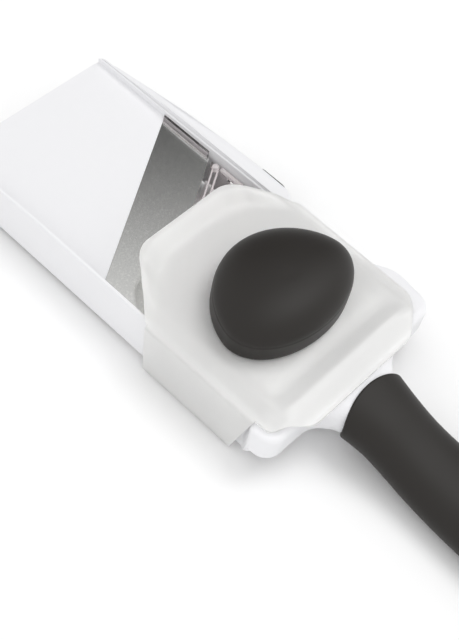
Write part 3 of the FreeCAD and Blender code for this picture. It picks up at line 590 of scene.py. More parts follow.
def evenly(line, count):
    # the same line with a set number of points, closer together where it turns
    marks = [0]
    for index in range(1, len(line)):
        bend = 0
        if index < len(line) - 1:
            bend = (line[index] - line[index - 1]).angle(line[index + 1] - line[index])
        marks.append(marks[-1] + (line[index] - line[index - 1]).length + bend * 26)
    points = []
    for step in range(count):
        mark = marks[-1] * step / (count - 1)
        index = next((i for i in range(len(marks) - 1) if marks[i + 1] >= mark), len(marks) - 2)
        part = (mark - marks[index]) / (marks[index + 1] - marks[index])
        points.append(line[index].lerp(line[index + 1], min(part, 1)))
    return points


def inwards(line, side):
    # unit normals of an open line, towards the middle of the piece
    normals = []
    for index in range(len(line)):
        run = line[min(index + 1, len(line) - 1)] - line[max(index - 1, 0)]
        normals.append(Vector((-run.y, run.x)).normalized() * side)
    return normals


def buildBody():
    s = bodyShell
    half, neck = s["halfWidth"], s["neckHalf"]
    frontRadius = s["corner"] - 0.01
    nearCorners = [(s["frontX"], -half + s["corner"], 0), (s["frontX"], -half, frontRadius),
                   (s["nearFlareX"], -half, 5), (s["nearShoulderX"], s["nearShoulderY"], 4),
                   (s["nearBackX"], s["nearShoulderY"], 8.5), (s["nearNeckX"], -neck, s["neckRadius"]),
                   (s["neckEndX"], -neck, 0)]
    farCorners = [(s["frontX"], half - s["corner"], 0), (s["frontX"], half, frontRadius),
                  (s["farFlareX"], half, 18), (s["farShoulderX"], s["farShoulderY"], 16),
                  (s["farBackX"], s["farShoulderY"], 10), (s["farNeckX"], neck, s["neckRadius"]),
                  (s["neckEndX"], neck, 0)]
    near, far = evenly(openSide(nearCorners), 150), evenly(openSide(farCorners), 150)
    nearIn, farIn = inwards(near, 1), inwards(far, -1)
    nearIn[0] = farIn[0] = Vector((1, 0))
    across = 16
    sections = []
    for index in range(len(near)):
        x = (near[index].x + far[index].x) / 2
        loop = []
        for line, normals, turn in ((near, nearIn, 1), (far, farIn, -1)):
            point, normal = line[index], normals[index]
            edge = s["railRound"] + (s["shoulderRound"] - s["railRound"]) * blend("shoulderEdge", point.x)
            edge += 5.6 * blend("neckEdge", point.x)
            foot = s["footLevel"] + (s["wingFoot"] - s["footLevel"]) * blend("wing", point.x)
            foot += (s["neckFoot"] - s["wingFoot"]) * blend("neckFoot", point.x)
            under = 0.3 + 3.4 * blend("wingUnder", point.x) + 4.5 * blend("neckUnder", point.x)
            top = railTop - 1.2 * blend("neckTop", point.x) - 5.5 * blend("neckSlope", point.x)
            column = []
            for step in range(5):
                angle = math.pi / 2 * (1 - step / 4)
                place = point + normal * under * (1 - math.cos(angle))
                column.append((place.x, place.y, foot + under * (1 - math.sin(angle))))
            for part in (0.25, 0.5, 0.75):
                column.append((point.x, point.y, foot + under + (top - edge - foot - under) * part))
            for step in range(7):
                angle = math.pi / 2 * step / 6
                place = point + normal * edge * (1 - math.cos(angle))
                column.append((place.x, place.y, top - edge * (1 - math.sin(angle))))
            loop.append(column)
        crown = 0.7 * blend("crown", x)
        topLine, underLine = [], []
        for step in range(1, across):
            part = step / across
            arch = 1 - (2 * part - 1) ** 2
            middle = Vector(loop[0][-1]).lerp(Vector(loop[1][-1]), part)
            topLine.append(middle + Vector((0, 0, crown * arch)))
            middle = Vector(loop[1][0]).lerp(Vector(loop[0][0]), part)
            underLine.append(middle - Vector((0, 0, crown * arch)))
        sections.append(loop[0] + topLine + loop[1][::-1] + underLine)
    count, tall = len(sections[0]), len(loop[0])
    points = [point for section in sections for point in section]
    faces = []
    for level in range(len(sections) - 1):
        for index in range(count):
            after = (index + 1) % count
            faces.append((level * count + index, (level + 1) * count + index,
                          (level + 1) * count + after, level * count + after))
    farStart = tall + across - 1
    for base in (0, (len(sections) - 1) * count):
        ladder = [[base + rung, base + farStart + tall - 1 - rung] for rung in range(tall)]
        for low, high in zip(ladder, ladder[1:]):
            faces.append((low[0], low[1], high[1], high[0]))
        faces.append(tuple([base + tall - 1 + step for step in range(across + 1)]))
        faces.append(tuple([base + farStart + tall - 1 + step for step in range(across)] + [base]))
    body = tidyMesh(newPiece("bodyShell", points, faces), 0.001)

    ledgeLine = cornered(bodyLedge["corners"], 6) + [Vector(place) for place in bodyLedge["reach"]]
    flange = slab("flange", ledgeLine, railTop - bodyLedge["thick"], railTop, bodyLedge["round"], 4)
    combine(body, [flange], "UNION")

    channelLine = cornered([(-30, -s["channelHalf"], 0), (s["deckX"], -s["channelHalf"], 5),
                            (s["deckX"], s["channelHalf"], 5), (-30, s["channelHalf"], 0)], 6)
    rings = []
    for step in range(5):
        angle = math.pi / 2 * step / 4
        ring = inset(channelLine, 1.2 * (1 - math.sin(angle)))
        rings.append([(p.x, p.y, plateTop + 1.2 * (1 - math.cos(angle))) for p in ring])
    for step in range(5):
        angle = math.pi / 2 * step / 4
        ring = inset(channelLine, -s["railRound"] * (1 - math.cos(angle)))
        rings.append([(p.x, p.y, railTop - s["railRound"] * (1 - math.sin(angle))) for p in ring])
    rings.append([(x, y, railTop + 3) for x, y, z in rings[-1]])
    channel = stack("channel", rings)

    inner = half - s["wall"]
    cavityLine = cornered([(s["frontX"] + s["wall"], -inner, 3), (191, -inner, 1), (194, -inner - 5.2, 0.8),
                           (s["cavityBackX"], -inner - 5.2, 0.8), (s["cavityBackX"], 54.6, 0.8),
                           (182, 54.6, 12),
                           (165, inner, 14), (s["frontX"] + s["wall"], inner, 3)], 5)
    ceiling = plateTop - s["plateThick"]
    cavity = slab("cavity", cavityLine, -10, ceiling, 0.8, 3)
    rearCavity = slab("rearCavity", rectangle(s["deckX"], 202.6, -50, 50, 1), -10, ceiling, 0.8, 3)
    side = s["channelHalf"] - 0.04
    window = slab("window", [Vector((bladeX(0, -side), -side)), Vector((s["windowBackX"], -side)),
                             Vector((s["windowBackX"], side)), Vector((bladeX(0, side), side))],
                  ceiling - 3, plateTop + 2, 0.01, 1)
    shaftLow, shaftHigh = lowHigh("shaft_bush")
    shaft = (shaftLow + shaftHigh) / 2
    bushHole = lathe("bushHole", [(4.02, -6), (4.02, 6)], (shaft.x, half - 1, shaft.z), "Y")
    combine(body, [channel, cavity, rearCavity, window, bushHole])

    pinLow, pinHigh = lowHigh("ramp_hinge_pin")
    pin = (pinLow + pinHigh) / 2
    extras = []
    for turn in (-1, 1):
        edges = sorted((turn * s["earFrom"], turn * s["earTo"]))
        extras.append(slab("ear", rectangle(pin.x - s["earAhead"], s["earBackX"], *edges, 0.6), pin.z - 4,
                           ceiling + 1, 0.5))
    for low, high in floorRibs:
        extras.append(slab("floorRib", [Vector((-3, low)), Vector((bladeX(-18, low), low)),
                                        Vector((bladeX(-18, high), high)), Vector((-3, high))],
                           ceiling - 5, ceiling + 1, 0.3))
    feetLow, feetHigh = lowHigh("rear_feet")
    footRadius, footX = (feetHigh.x - feetLow.x) / 2, (feetLow.x + feetHigh.x) / 2
    for y in (feetLow.y + footRadius, feetHigh.y - footRadius):
        extras.append(lathe("boss", [(footRadius, s["footLevel"]), (footRadius, ceiling + 1)],
                            (footX, y, 0)))
    legLine = rectangle(s["cavityBackX"], s["deckX"], -s["legHalf"], s["legHalf"], 0.8)
    extras.append(slab("leg", legLine, s["footLevel"], ceiling + 1, 0.4))
    tangRings = []
    for x, level, tall, wide in tangSections:
        ring = rectangle(-wide, wide, -tall, tall, 1.5)
        tangRings.append([(x, p.x, level + p.y) for p in ring])
    extras.append(stack("tang", tangRings))
    combine(body, extras, "UNION")
    for vertex in body.data.vertices:
        rise = vertex.co.z / mm - plateTop
        if rise > 0:
            fade = 1 - smoothStep(s["taperStart"], s["taperEnd"], vertex.co.x / mm)
            vertex.co.z -= rise * s["taper"] * fade * mm
    return finished(shaded(body, 30), "body", materials["white"], "white_plastic", "body_frame")


# food holder shell
holderSkin = {
    "frontX": 98, "frontHalf": 31, "cheekX": 126, "side": 50.6, "backX": 210, "backHalf": 33,
    "shoulderX": 195.5, "baseLevel": 33.3, "rise": 3.2, "lipTop": 39.6, "ridgeX": 198, "ridge": 0.9,
    "thick": 1.9, "skirtY": -52.6, "skirtFoot": 1.6, "skirtFrontX": 126, "skirtBackX": 193,
    "skirtCornerX": 199, "skirtFrontLowX": 128.6, "skirtBackLowX": 185, "lipDeep": 4.6, "foldRadius": 2.3,
    "count": 110, "across": 56, "runnerX": (130, 188), "runnerY": (43.9, 45.4), "runnerFoot": 27.6,
}


def holderFrontAt(y):
    # X of the tongue's front edge beside a given Y
    s = holderSkin
    side = abs(y)
    slope = (s["cheekX"] - s["frontX"]) / (s["side"] - s["frontHalf"])
    corner = 9
    straight = s["frontX"] + max(side - s["frontHalf"], 0) * slope
    bulge = corner * 0.5 * math.exp(-((side - s["frontHalf"]) / 7) ** 2)
    return straight + bulge


def holderTop(x, y):
    s = holderSkin
    side = abs(y)
    plateau = smoothStep(s["side"] - 0.8, s["side"] - 9, side)
    plateau *= smoothStep(s["backX"] - 1, s["backX"] - 9, x)
    height = s["baseLevel"] + s["rise"] * plateau
    behind = x - holderFrontAt(y)
    lip = (s["lipTop"] - s["baseLevel"] - s["rise"]) * smoothStep(49, 33, side)
    cheek = s["rise"] * (1 - plateau) * smoothStep(50, 36, side)
    height += lip * (1 - smoothStep(0.5, 11, behind)) + cheek * (1 - smoothStep(2, 14, behind))
    height -= 0.5 * math.exp(-((behind - 13) / 4) ** 2) * smoothStep(48, 40, side)
    height += s["ridge"] * math.exp(-((x - s["ridgeX"]) / 3.2) ** 2) * smoothStep(44, 34, side)
    height -= 0.5 * math.exp(-((x - s["ridgeX"] + 8) / 4) ** 2) * smoothStep(44, 34, side)
    return height


def buildHolder():
    s = holderSkin
    front, back = s["frontX"], s["backX"]
    farCorners = [(front, 6, 0), (front, s["frontHalf"] - 3, 13), (s["cheekX"], s["side"], 5),
                  (s["shoulderX"], s["side"], 9),
                  (back, s["backHalf"], 12), (back, 6, 0)]
    nearCorners = [(x, -y, r) for x, y, r in farCorners]
    nearCorners[3] = (s["skirtCornerX"], -s["side"], 4.5)
    count, across, foldRadius = s["count"], s["across"], s["foldRadius"]
    near, far = evenly(openSide(nearCorners), count), evenly(openSide(farCorners), count)
    grid = []
    for index in range(count):
        row = []
        start, end = near[index], far[index]
        for step in range(across + 1):
            part = step / across
            place = start.lerp(end, part)
            row.append(Vector((place.x, place.y, holderTop(place.x, place.y))))
        grid.append(row)
    points = [point for row in grid for point in row]
    wide = across + 1
    faces = [(row * wide + step, row * wide + step + 1, (row + 1) * wide + step + 1,
              (row + 1) * wide + step)
             for row in range(count - 1) for step in range(across)]
    # the skirt hangs from the near edge, folded over the rail
    skirtFront, skirtBack = s["skirtFrontX"] + 1.5, s["skirtBackX"] - 0.5
    rows = [index for index in range(count) if skirtFront <= near[index].x <= skirtBack
            and near[index].y < -s["side"] + 0.4]
    outer = s["skirtY"]
    edgeLevel = s["baseLevel"]
    drops = []
    for step in range(1, 7):
        angle = math.pi / 2 * step / 6
        drops.append((-s["side"] - (-outer - s["side"]) * math.sin(angle),
                      edgeLevel - foldRadius * (1 - math.cos(angle))))
    for step in range(1, 10):
        drops.append((outer, edgeLevel - foldRadius
                      - (edgeLevel - foldRadius - s["skirtFoot"] - 1.5) * step / 9))
    for step in range(1, 5):
        angle = math.pi / 2 * step / 4
        drops.append((outer + 1.5 * (1 - math.cos(angle)), s["skirtFoot"] + 1.5 * (1 - math.sin(angle))))
    drops.append((outer + s["lipDeep"], s["skirtFoot"]))
    firstX, lastX = near[rows[0]].x, near[rows[-1]].x
    previous = [row * wide for row in rows]
    for y, z in drops:
        deep = (edgeLevel - z) / (edgeLevel - s["skirtFoot"])
        low = firstX + (s["skirtFrontLowX"] - s["skirtFrontX"]) * deep
        high = lastX + (s["skirtBackLowX"] - s["skirtBackX"]) * deep
        current = []
        for row in rows:
            part = (near[row].x - firstX) / (lastX - firstX)
            current.append(len(points))
            points.append(Vector((low + (high - low) * part, y, z)))
        for index in range(len(rows) - 1):
            faces.append((previous[index], previous[index + 1], current[index + 1], current[index]))
        previous = current
    shell = newPiece("holderSheet", points, faces)
    tidyMesh(shell, 0.01, False)
    work = bmesh.new()
    work.from_mesh(shell.data)
    bmesh.ops.recalc_face_normals(work, faces=work.faces)
    if sum(face.normal.z for face in work.faces) < 0:
        bmesh.ops.reverse_faces(work, faces=work.faces)
    work.to_mesh(shell.data)
    work.free()
    wall = shell.modifiers.new("wall", "SOLIDIFY")
    wall.thickness, wall.offset = s["thick"] * mm, -1
    applied(shell)
    rounded(shell, 0.4, 2, 50)
    runners = []
    for turn in (-1, 1):
        edges = sorted(turn * y for y in s["runnerY"])
        line = rectangle(*s["runnerX"], *edges, 0.7)
        runners.append(slab("runner", line, s["runnerFoot"], s["baseLevel"] - 0.9, 0.4))
    shell = joinPieces("holderShell", [shell] + runners)
    return finished(shaded(shell, 38), "holder", materials["frost"], "frosted_plastic", "holder_shell")


# holder knob: a band with a soft dome
knobCap = {
    "middleX": 160.9, "ahead": 31.75, "behind": 23.2, "half": 36.6, "footLevel": 37.65, "bandTop": 47.3,
    "edge": 1.1, "domeRise": 12.2, "aheadPower": 1.2, "behindPower": 0.98, "shrinkPower": 0.84,
    "sides": 96,
}


def knobRing(scale, level):
    s = knobCap
    ring = []
    for index in range(s["sides"]):
        angle = 2 * math.pi * index / s["sides"]
        along = math.cos(angle)
        reach, power = (s["ahead"], s["aheadPower"]) if along < 0 else (s["behind"], s["behindPower"])
        x = s["middleX"] + reach * scale * math.copysign(abs(along) ** power, along)
        ring.append((x, s["half"] * scale * math.sin(angle), level))
    return ring


def buildKnob():
    s = knobCap
    rings = [knobRing(0.55, s["footLevel"] + 2.5), knobRing(0.9, s["footLevel"] + 2.5),
             knobRing(0.93, s["footLevel"] + 0.3),
             knobRing(0.955, s["footLevel"]), knobRing(0.985, s["footLevel"]),
             knobRing(0.998, s["footLevel"] + 0.7)]
    for step in range(1, 6):
        level = s["footLevel"] + 0.7 + (s["bandTop"] - s["edge"] - s["footLevel"] - 0.7) * step / 5
        rings.append(knobRing(1.0, level))
    for step in range(1, 5):
        rings.append(knobRing(1 - 0.008 * (step / 4) ** 2, s["bandTop"] - s["edge"] + s["edge"] * step / 4))
    steps = 26
    for step in range(1, steps):
        angle = math.pi / 2 * step / steps
        rings.append(knobRing(0.992 * math.cos(angle) ** s["shrinkPower"],
                              s["bandTop"] + s["domeRise"] * math.sin(angle)))
    knob = stack("knobCap", rings)
    return finished(shaded(knob, 50), "holder", materials["black"], "soft_grip", "knob_grip")


# handle grip: a soft sleeve over the neck, its front edge an arc
gripSleeve = {
    "frontX": 211.7, "arc": 40, "endX": 372, "power": 2.25, "edge": 1.0, "sides": 72, "hangX": 354,
    "hangRadius": 6.4,
}
gripTable = [
    (206, 24, 11.4, 20.6), (212, 21.8, 11, 20.4), (218, 20.4, 10.7, 19.6), (230, 18.6, 10.6, 17.4),
    (242, 18.3, 10.5, 14.2), (256, 19.0, 10.4, 11.6), (275, 20.2, 10.4, 10.4), (300, 21.2, 10.4, 10.4),
    (325, 21.6, 10.4, 10.4), (345, 20.2, 10.3, 10.4), (357, 17.2, 9.9, 10.4), (365, 13.0, 8.6, 10.4),
    (370, 8.0, 6.3, 10.4), (372, 0.6, 1.2, 10.4),
]


def gripPoint(x, angle, shrink):
    s = gripSleeve
    wide, tall, level = blendTable(gripTable, x)
    across, up = math.cos(angle), math.sin(angle)
    power = 2 / s["power"]
    y = (wide - shrink) * math.copysign(abs(across) ** power, across)
    z = max(level + (tall - shrink) * math.copysign(abs(up) ** power, up), 0.02)
    return Vector((x, y, z))


def buildGrip():
    s = gripSleeve
    places = [0, 0.5, 1.2, 2.2, 3.6, 5.5, 8, 11, 14.5, 18.5, 23, 28]
    places += [28 + 4.6 * step for step in range(1, 29)]
    last = s["endX"] - s["frontX"]
    places = [place for place in places if place < last - 4]
    places += [last - 3.2, last - 1.8, last - 0.8, last - 0.25, last]
    rings = []

    def ringAt(place, shrink):
        ring = []
        for index in range(s["sides"]):
            angle = 2 * math.pi * index / s["sides"]
            x = s["frontX"] + place
            for _ in range(3):
                y = min(abs(gripPoint(x, angle, shrink).y), s["arc"] - 1)
                sweep = s["arc"] - math.sqrt(s["arc"] ** 2 - y * y)
                x = s["frontX"] + place + sweep * (1 - smoothStep(4, 70, place))
            ring.append(gripPoint(min(x, s["endX"]), angle, shrink))
        return ring

    rings.append(ringAt(0.8, 3.4))
    for step in range(4, -1, -1):
        angle = math.pi / 2 * step / 4
        rings.append(ringAt(s["edge"] * (1 - math.sin(angle)), s["edge"] * (1 - math.cos(angle))))
    rings += [ringAt(place, 0) for place in places if place > s["edge"]]
    grip = stack("gripSleeve", rings)
    flare = [(s["hangRadius"] + 3.2, 0.2), (s["hangRadius"] + 1.2, 0.9), (s["hangRadius"] + 0.3, 1.9),
             (s["hangRadius"], 3.2)]
    mirrored = [(radius, 20.6 - level) for radius, level in reversed(flare)]
    profile = [(s["hangRadius"] + 6, -3)] + flare + mirrored + [(s["hangRadius"] + 6, 24)]
    hole = lathe("hangCut", profile, (s["hangX"], 0, 0), "Z", 48)
    combine(grip, [hole])
    return finished(shaded(grip, 40, False), "body", materials["black"], "soft_grip", "handle_grip")


buildBody()
buildHolder()
buildKnob()
buildGrip()


# what repeats or follows a rule is grown by Geometry Nodes
class Growth:
    # a node tree with named inputs; build fills it and the result becomes a plain mesh

    def __init__(self, name, sockets):
        self.tree = bpy.data.node_groups.new(name, "GeometryNodeTree")
        self.names = {}
        kinds = {"I": "NodeSocketInt", "V": "NodeSocketVector", "F": "NodeSocketFloat",
                 "M": "NodeSocketMaterial"}
        for label, kind in sockets.items():
            socket = self.tree.interface.new_socket(label, in_out="INPUT", socket_type=kinds[kind])
            self.names[label] = socket.identifier
        self.tree.interface.new_socket("Geometry", in_out="OUTPUT", socket_type="NodeSocketGeometry")
        self.given = self.tree.nodes.new("NodeGroupInput")
        self.result = self.tree.nodes.new("NodeGroupOutput")

    def moved(self, geometry, place):
        return self.add("GeometryNodeTransform", {"Geometry": geometry, "Translation": place})

    def add(self, kind, links=None, **settings):
        node = self.tree.nodes.new(kind)
        for key, value in settings.items():
            setattr(node, key, value)
        for socket, value in (links or {}).items():
            target = node.inputs[socket]
            if isinstance(value, str):
                self.tree.links.new(self.given.outputs[value], target)
            elif isinstance(value, bpy.types.NodeSocket):
                self.tree.links.new(value, target)
            elif isinstance(value, (list, tuple)) and isinstance(value[0], bpy.types.NodeSocket):
                for part in reversed(value):
                    self.tree.links.new(part, target)
            else:
                target.default_value = value
        return node.outputs[0]

    def sum(self, operation, first, second=0.0):
        return self.add("ShaderNodeMath", {0: first, 1: second}, operation=operation)

    def times(self, first, second):
        return self.sum("MULTIPLY", first, second)

    def vector(self, x=0.0, y=0.0, z=0.0):
        return self.add("ShaderNodeCombineXYZ", {"X": x, "Y": y, "Z": z})

    def finish(self, geometry):
        solid = self.add("GeometryNodeRealizeInstances", {"Geometry": geometry})
        painted = self.add("GeometryNodeSetMaterial", {"Geometry": solid, "Material": "Material"})
        self.tree.links.new(painted, self.result.inputs[0])
        return self

    def grow(self, name, **values):
        piece = newPiece(name, [(0, 0, 0)], [])
        step = piece.modifiers.new("grown", "NODES")
        step.node_group = self.tree
        for label, value in values.items():
            step[self.names[label.replace("_", " ")]] = value
        return applied(piece)


def prongGrowth():
    # a grid of pins, each a shank with a collar and a point that faces down
    g = Growth("prongGrid", {"Rows": "I", "Columns": "I", "Long": "F", "Wide": "F", "Middle": "V",
                             "Top": "F",
                             "Tip": "F", "Point": "F", "Radius": "F", "Material": "M"})
    grid = g.add("GeometryNodeMeshGrid", {"Size X": "Long", "Size Y": "Wide", "Vertices X": "Rows",
                                          "Vertices Y": "Columns"})
    shankEnd = g.sum("ADD", "Tip", "Point")
    shankLong = g.sum("SUBTRACT", "Top", shankEnd)
    shank = g.add("GeometryNodeMeshCylinder", {"Vertices": 20, "Radius": "Radius", "Depth": shankLong})
    half = g.times(g.sum("ADD", "Top", shankEnd), 0.5)
    shank = g.moved(shank, g.vector(z=half))
    point = g.add("GeometryNodeMeshCone", {"Vertices": 20, "Side Segments": 3, "Radius Top": "Radius",
                                           "Radius Bottom": g.times("Radius", 0.06), "Depth": "Point"})
    point = g.moved(point, g.vector(z="Tip"))
    collar = g.add("GeometryNodeMeshCylinder", {"Vertices": 20, "Radius": g.times("Radius", 1.25),
                                                "Depth": g.times("Radius", 0.6)})
    collar = g.moved(collar, g.vector(z=half))
    pin = g.add("GeometryNodeJoinGeometry", {"Geometry": [shank, point, collar]})
    pins = g.add("GeometryNodeInstanceOnPoints", {"Points": grid, "Instance": pin})
    pins = g.moved(pins, "Middle")
    return g.finish(pins)


def screwGrowth(name, ring):
    # pan-head screws with a cross recess and a thread, in a row or on a ring
    g = Growth(name, {"Count": "I", "Start": "V", "Step": "V", "Ring": "F", "Turn": "V", "Head Radius": "F",
                      "Head Tall": "F", "Shank Radius": "F", "Shank Long": "F", "Pitch": "F",
                      "Material": "M"})
    rim = g.add("GeometryNodeMeshCylinder", {"Vertices": 32, "Radius": "Head Radius",
                                             "Depth": g.times("Head Tall", 0.55)})
    rim = g.moved(rim, g.vector(z=g.times("Head Tall", -0.275)))
    crown = g.add("GeometryNodeMeshCone", {"Vertices": 32, "Radius Top": "Head Radius",
                                           "Radius Bottom": g.times("Head Radius", 0.72),
                                           "Depth": g.times("Head Tall", 0.45)})
    crown = g.moved(crown, g.vector(z=g.times("Head Tall", -0.9999)))
    head = g.add("GeometryNodeMeshBoolean", {"Mesh 2": [rim, crown]}, operation="UNION", solver="EXACT")
    wide, thin = g.times("Head Radius", 1.1), g.times("Head Radius", 0.24)
    deep = g.times("Head Tall", 1.1)
    slots = [g.add("GeometryNodeMeshCube", {"Size": g.vector(*sizes)}) for sizes in (
        (wide, thin, deep), (thin, wide, deep))]
    drop = g.vector(z=g.times("Head Tall", -1.0))
    slots = [g.moved(slot, drop) for slot in slots]
    head = g.add("GeometryNodeMeshBoolean", {"Mesh 1": head, "Mesh 2": slots}, operation="DIFFERENCE",
                 solver="EXACT")
    shank = g.add("GeometryNodeMeshCylinder", {"Vertices": 24, "Radius": g.times("Shank Radius", 0.86),
                                               "Depth": "Shank Long"})
    shank = g.moved(shank, g.vector(z=g.times("Shank Long", 0.4999)))
    threadRadius = g.times("Shank Radius", 0.86)
    thread = g.add("GeometryNodeCurveSpiral", {"Resolution": 16, "Rotations": g.sum(
        "DIVIDE", g.times("Shank Long", 0.9), "Pitch"), "Start Radius": threadRadius,
        "End Radius": threadRadius, "Height": g.times("Shank Long", 0.9)})
    wire = g.add("GeometryNodeCurvePrimitiveCircle", {"Resolution": 5,
                                                      "Radius": g.times("Shank Radius", 0.13)})
    thread = g.add("GeometryNodeCurveToMesh", {"Curve": thread, "Profile Curve": wire, "Fill Caps": True})
    screw = g.add("GeometryNodeJoinGeometry", {"Geometry": [head, shank, thread]})
    if ring:
        points = g.add("GeometryNodeMeshCircle", {"Vertices": "Count", "Radius": "Ring"})
        points = g.moved(points, "Start")
    else:
        points = g.add("GeometryNodeMeshLine", {"Count": "Count", "Start Location": "Start",
                                                "Offset": "Step"})
    screws = g.add("GeometryNodeInstanceOnPoints", {"Points": points, "Instance": screw,
                                                    "Rotation": "Turn"})
    return g.finish(screws)


def springGrowth():
    # close coils along Y with a straight leg at each end
    g = Growth("coilSpring", {"Turns": "F", "Radius": "F", "Wire": "F", "Long": "F", "Deck Leg": "F",
                              "Ramp Leg": "F",
                              "Middle": "V", "Material": "M"})
    coil = g.add("GeometryNodeCurveSpiral", {"Resolution": 28, "Rotations": "Turns",
                                             "Start Radius": "Radius",
                                             "End Radius": "Radius", "Height": "Long"})
    coil = g.add("GeometryNodeTransform", {"Geometry": coil, "Rotation": (-math.pi / 2, 0, 0)})
    deck = g.add("GeometryNodeCurvePrimitiveLine", {"Start": g.vector(x="Radius"),
                                                    "End": g.vector(x="Radius", z="Deck Leg")})
    under = g.times("Radius", -1.0)
    rampEnd = g.vector(x=g.times("Ramp Leg", -1.0), y="Long", z=under)
    ramp = g.add("GeometryNodeCurvePrimitiveLine", {"Start": g.vector(x=0.0, y="Long", z=under),
                                                    "End": rampEnd})
    wire = g.add("GeometryNodeCurvePrimitiveCircle", {"Resolution": 12, "Radius": "Wire"})
    runs = [g.add("GeometryNodeCurveToMesh", {"Curve": run, "Profile Curve": wire, "Fill Caps": True})
            for run in (coil, deck, ramp)]
    spring = g.add("GeometryNodeJoinGeometry", {"Geometry": runs})
    spring = g.moved(spring, "Middle")
    return g.finish(spring)


fastener = {"headRadius": 2.6, "headTall": 1.4, "shankRadius": 1.15, "pitch": 0.7, "lowHead": 1.0}
pinSizes = {"radius": 0.9, "point": 2.4, "rows": 4, "columns": 6}
coilSizes = {"wire": 0.6, "radius": 2.9, "turns": 5.0}


def growScrews(growth, name, node, body, key, slot, count, start, step=(0, 0, 0), ring=0, turn=(0, 0, 0),
               **sizes):
    s = dict(fastener, **sizes)
    piece = growth.grow(name, Count=count, Start=Vector(start) * mm, Step=Vector(step) * mm, Ring=ring * mm,
                        Turn=turn, Head_Radius=s["headRadius"] * mm, Head_Tall=s["headTall"] * mm,
                        Shank_Radius=s["shankRadius"] * mm, Shank_Long=s["shankLong"] * mm,
                        Pitch=s["pitch"] * mm,
                        Material=materials[key])
    tidyMesh(piece, 0.0005)
    return finished(shaded(piece, 32, False), body, materials[key], slot, node)


def buildGrown():
    low, high = lowHigh("holder_prongs")
    radius = pinSizes["radius"]
    prongs = prongGrowth().grow(
        "holderPins", Rows=pinSizes["rows"], Columns=pinSizes["columns"],
        Long=(high.x - low.x - 2 * radius) * mm, Wide=(high.y - low.y - 2 * radius) * mm,
        Middle=Vector(((low.x + high.x) / 2, 0, 0)) * mm, Top=high.z * mm, Tip=low.z * mm,
        Point=pinSizes["point"] * mm,
        Radius=radius * mm, Material=materials["steel"])
    tidyMesh(prongs, 0.0005)
    finished(shaded(prongs, 40, False), "holder", materials["steel"], "fastener_steel", "holder_prongs")

    row, ring = screwGrowth("screwRow", False), screwGrowth("screwRing", True)
    head, headTall = fastener["headRadius"], fastener["headTall"]
    low, high = lowHigh("blade_screws")
    step = ((high.x - low.x - 2 * head) / -2, (high.y - low.y - 2 * head) / 2, 0)
    growScrews(row, "carrierScrews", "blade_screws", "body", "steel", "fastener_steel", 3,
               (high.x - head, low.y + head, low.z + headTall), step, shankLong=high.z - low.z - headTall)
    low, high = lowHigh("bracket_screws")
    growScrews(row, "bracketScrews", "bracket_screws", "body", "steel", "fastener_steel", 2,
               (low.x + head, low.y + headTall, (low.z + high.z) / 2), (high.x - low.x - 2 * head, 0, 0),
               turn=(-math.pi / 2, 0, 0), shankLong=high.y - low.y - headTall)
    low, high = lowHigh("knob_screws")
    middle, reach = (low.y + high.y) / 2, (high.x - low.x - 2 * head) / 1.5
    growScrews(ring, "knobScrews", "knob_screws", "holder", "steel", "fastener_steel", 3,
               (high.x - head - reach, middle, low.z + headTall), ring=reach,
               shankLong=high.z - low.z - headTall)
    for node, name, body in (("thickness_knob_screw", "dialScrew", "knob"),
                             ("click_spring_screw", "clickScrew", "body")):
        low, high = lowHigh(node)
        tall = headTall if body == "knob" else fastener["lowHead"]
        growScrews(row, name, node, body, "steel", "fastener_steel", 1,
                   ((low.x + high.x) / 2, high.y - tall, (low.z + high.z) / 2), headTall=tall,
                   turn=(math.pi / 2, 0, 0), shankLong=high.y - low.y - tall)

    low, high = lowHigh("ramp_spring")
    pinLow, pinHigh = lowHigh("ramp_hinge_pin")
    wire, coil = coilSizes["wire"], coilSizes["radius"]
    spring = springGrowth().grow(
        "rampSpring", Turns=coilSizes["turns"], Radius=coil * mm, Wire=wire * mm,
        Long=(high.y - low.y - 2 * wire) * mm,
        Deck_Leg=(high.z - (pinLow.z + pinHigh.z) / 2) * mm,
        Ramp_Leg=((pinLow.x + pinHigh.x) / 2 - low.x) * mm,
        Middle=Vector(((pinLow.x + pinHigh.x) / 2, low.y + wire, (pinLow.z + pinHigh.z) / 2)) * mm,
        Material=materials["spring"])
    tidyMesh(spring, 0.0005)
    finished(shaded(spring, 50, False), "body", materials["spring"], "spring_steel", "ramp_spring")


# clear details behind the blade: two ribs, a post and the rail clips
clearTrim = {
    "ribStart": 3.1, "ribGap": 3.0, "ribWide": 1.1, "ribLow": 22.3, "ribTop": 23.7, "ribFar": 42.6,
    "ribNear": -41, "postRadius": 1.9, "postTop": 25.2, "clipY": 44.2, "clipRadius": 1.45,
    "clipLevel": 23.1, "bladeRun": 31.6, "postShift": 1.9, "clips": ((83.2, 98.6), (100.6, 112)),
}


def capsule(name, start, end, y, level, radius):
    profile = []
    for step in range(7):
        angle = math.pi / 2 * step / 6
        profile.append((max(radius * math.sin(angle), 0.02), start + radius * (1 - math.cos(angle))))
    profile += [(r, start + end - x) for r, x in reversed(profile)]
    return lathe(name, profile, (0, y, level), "X", 20)


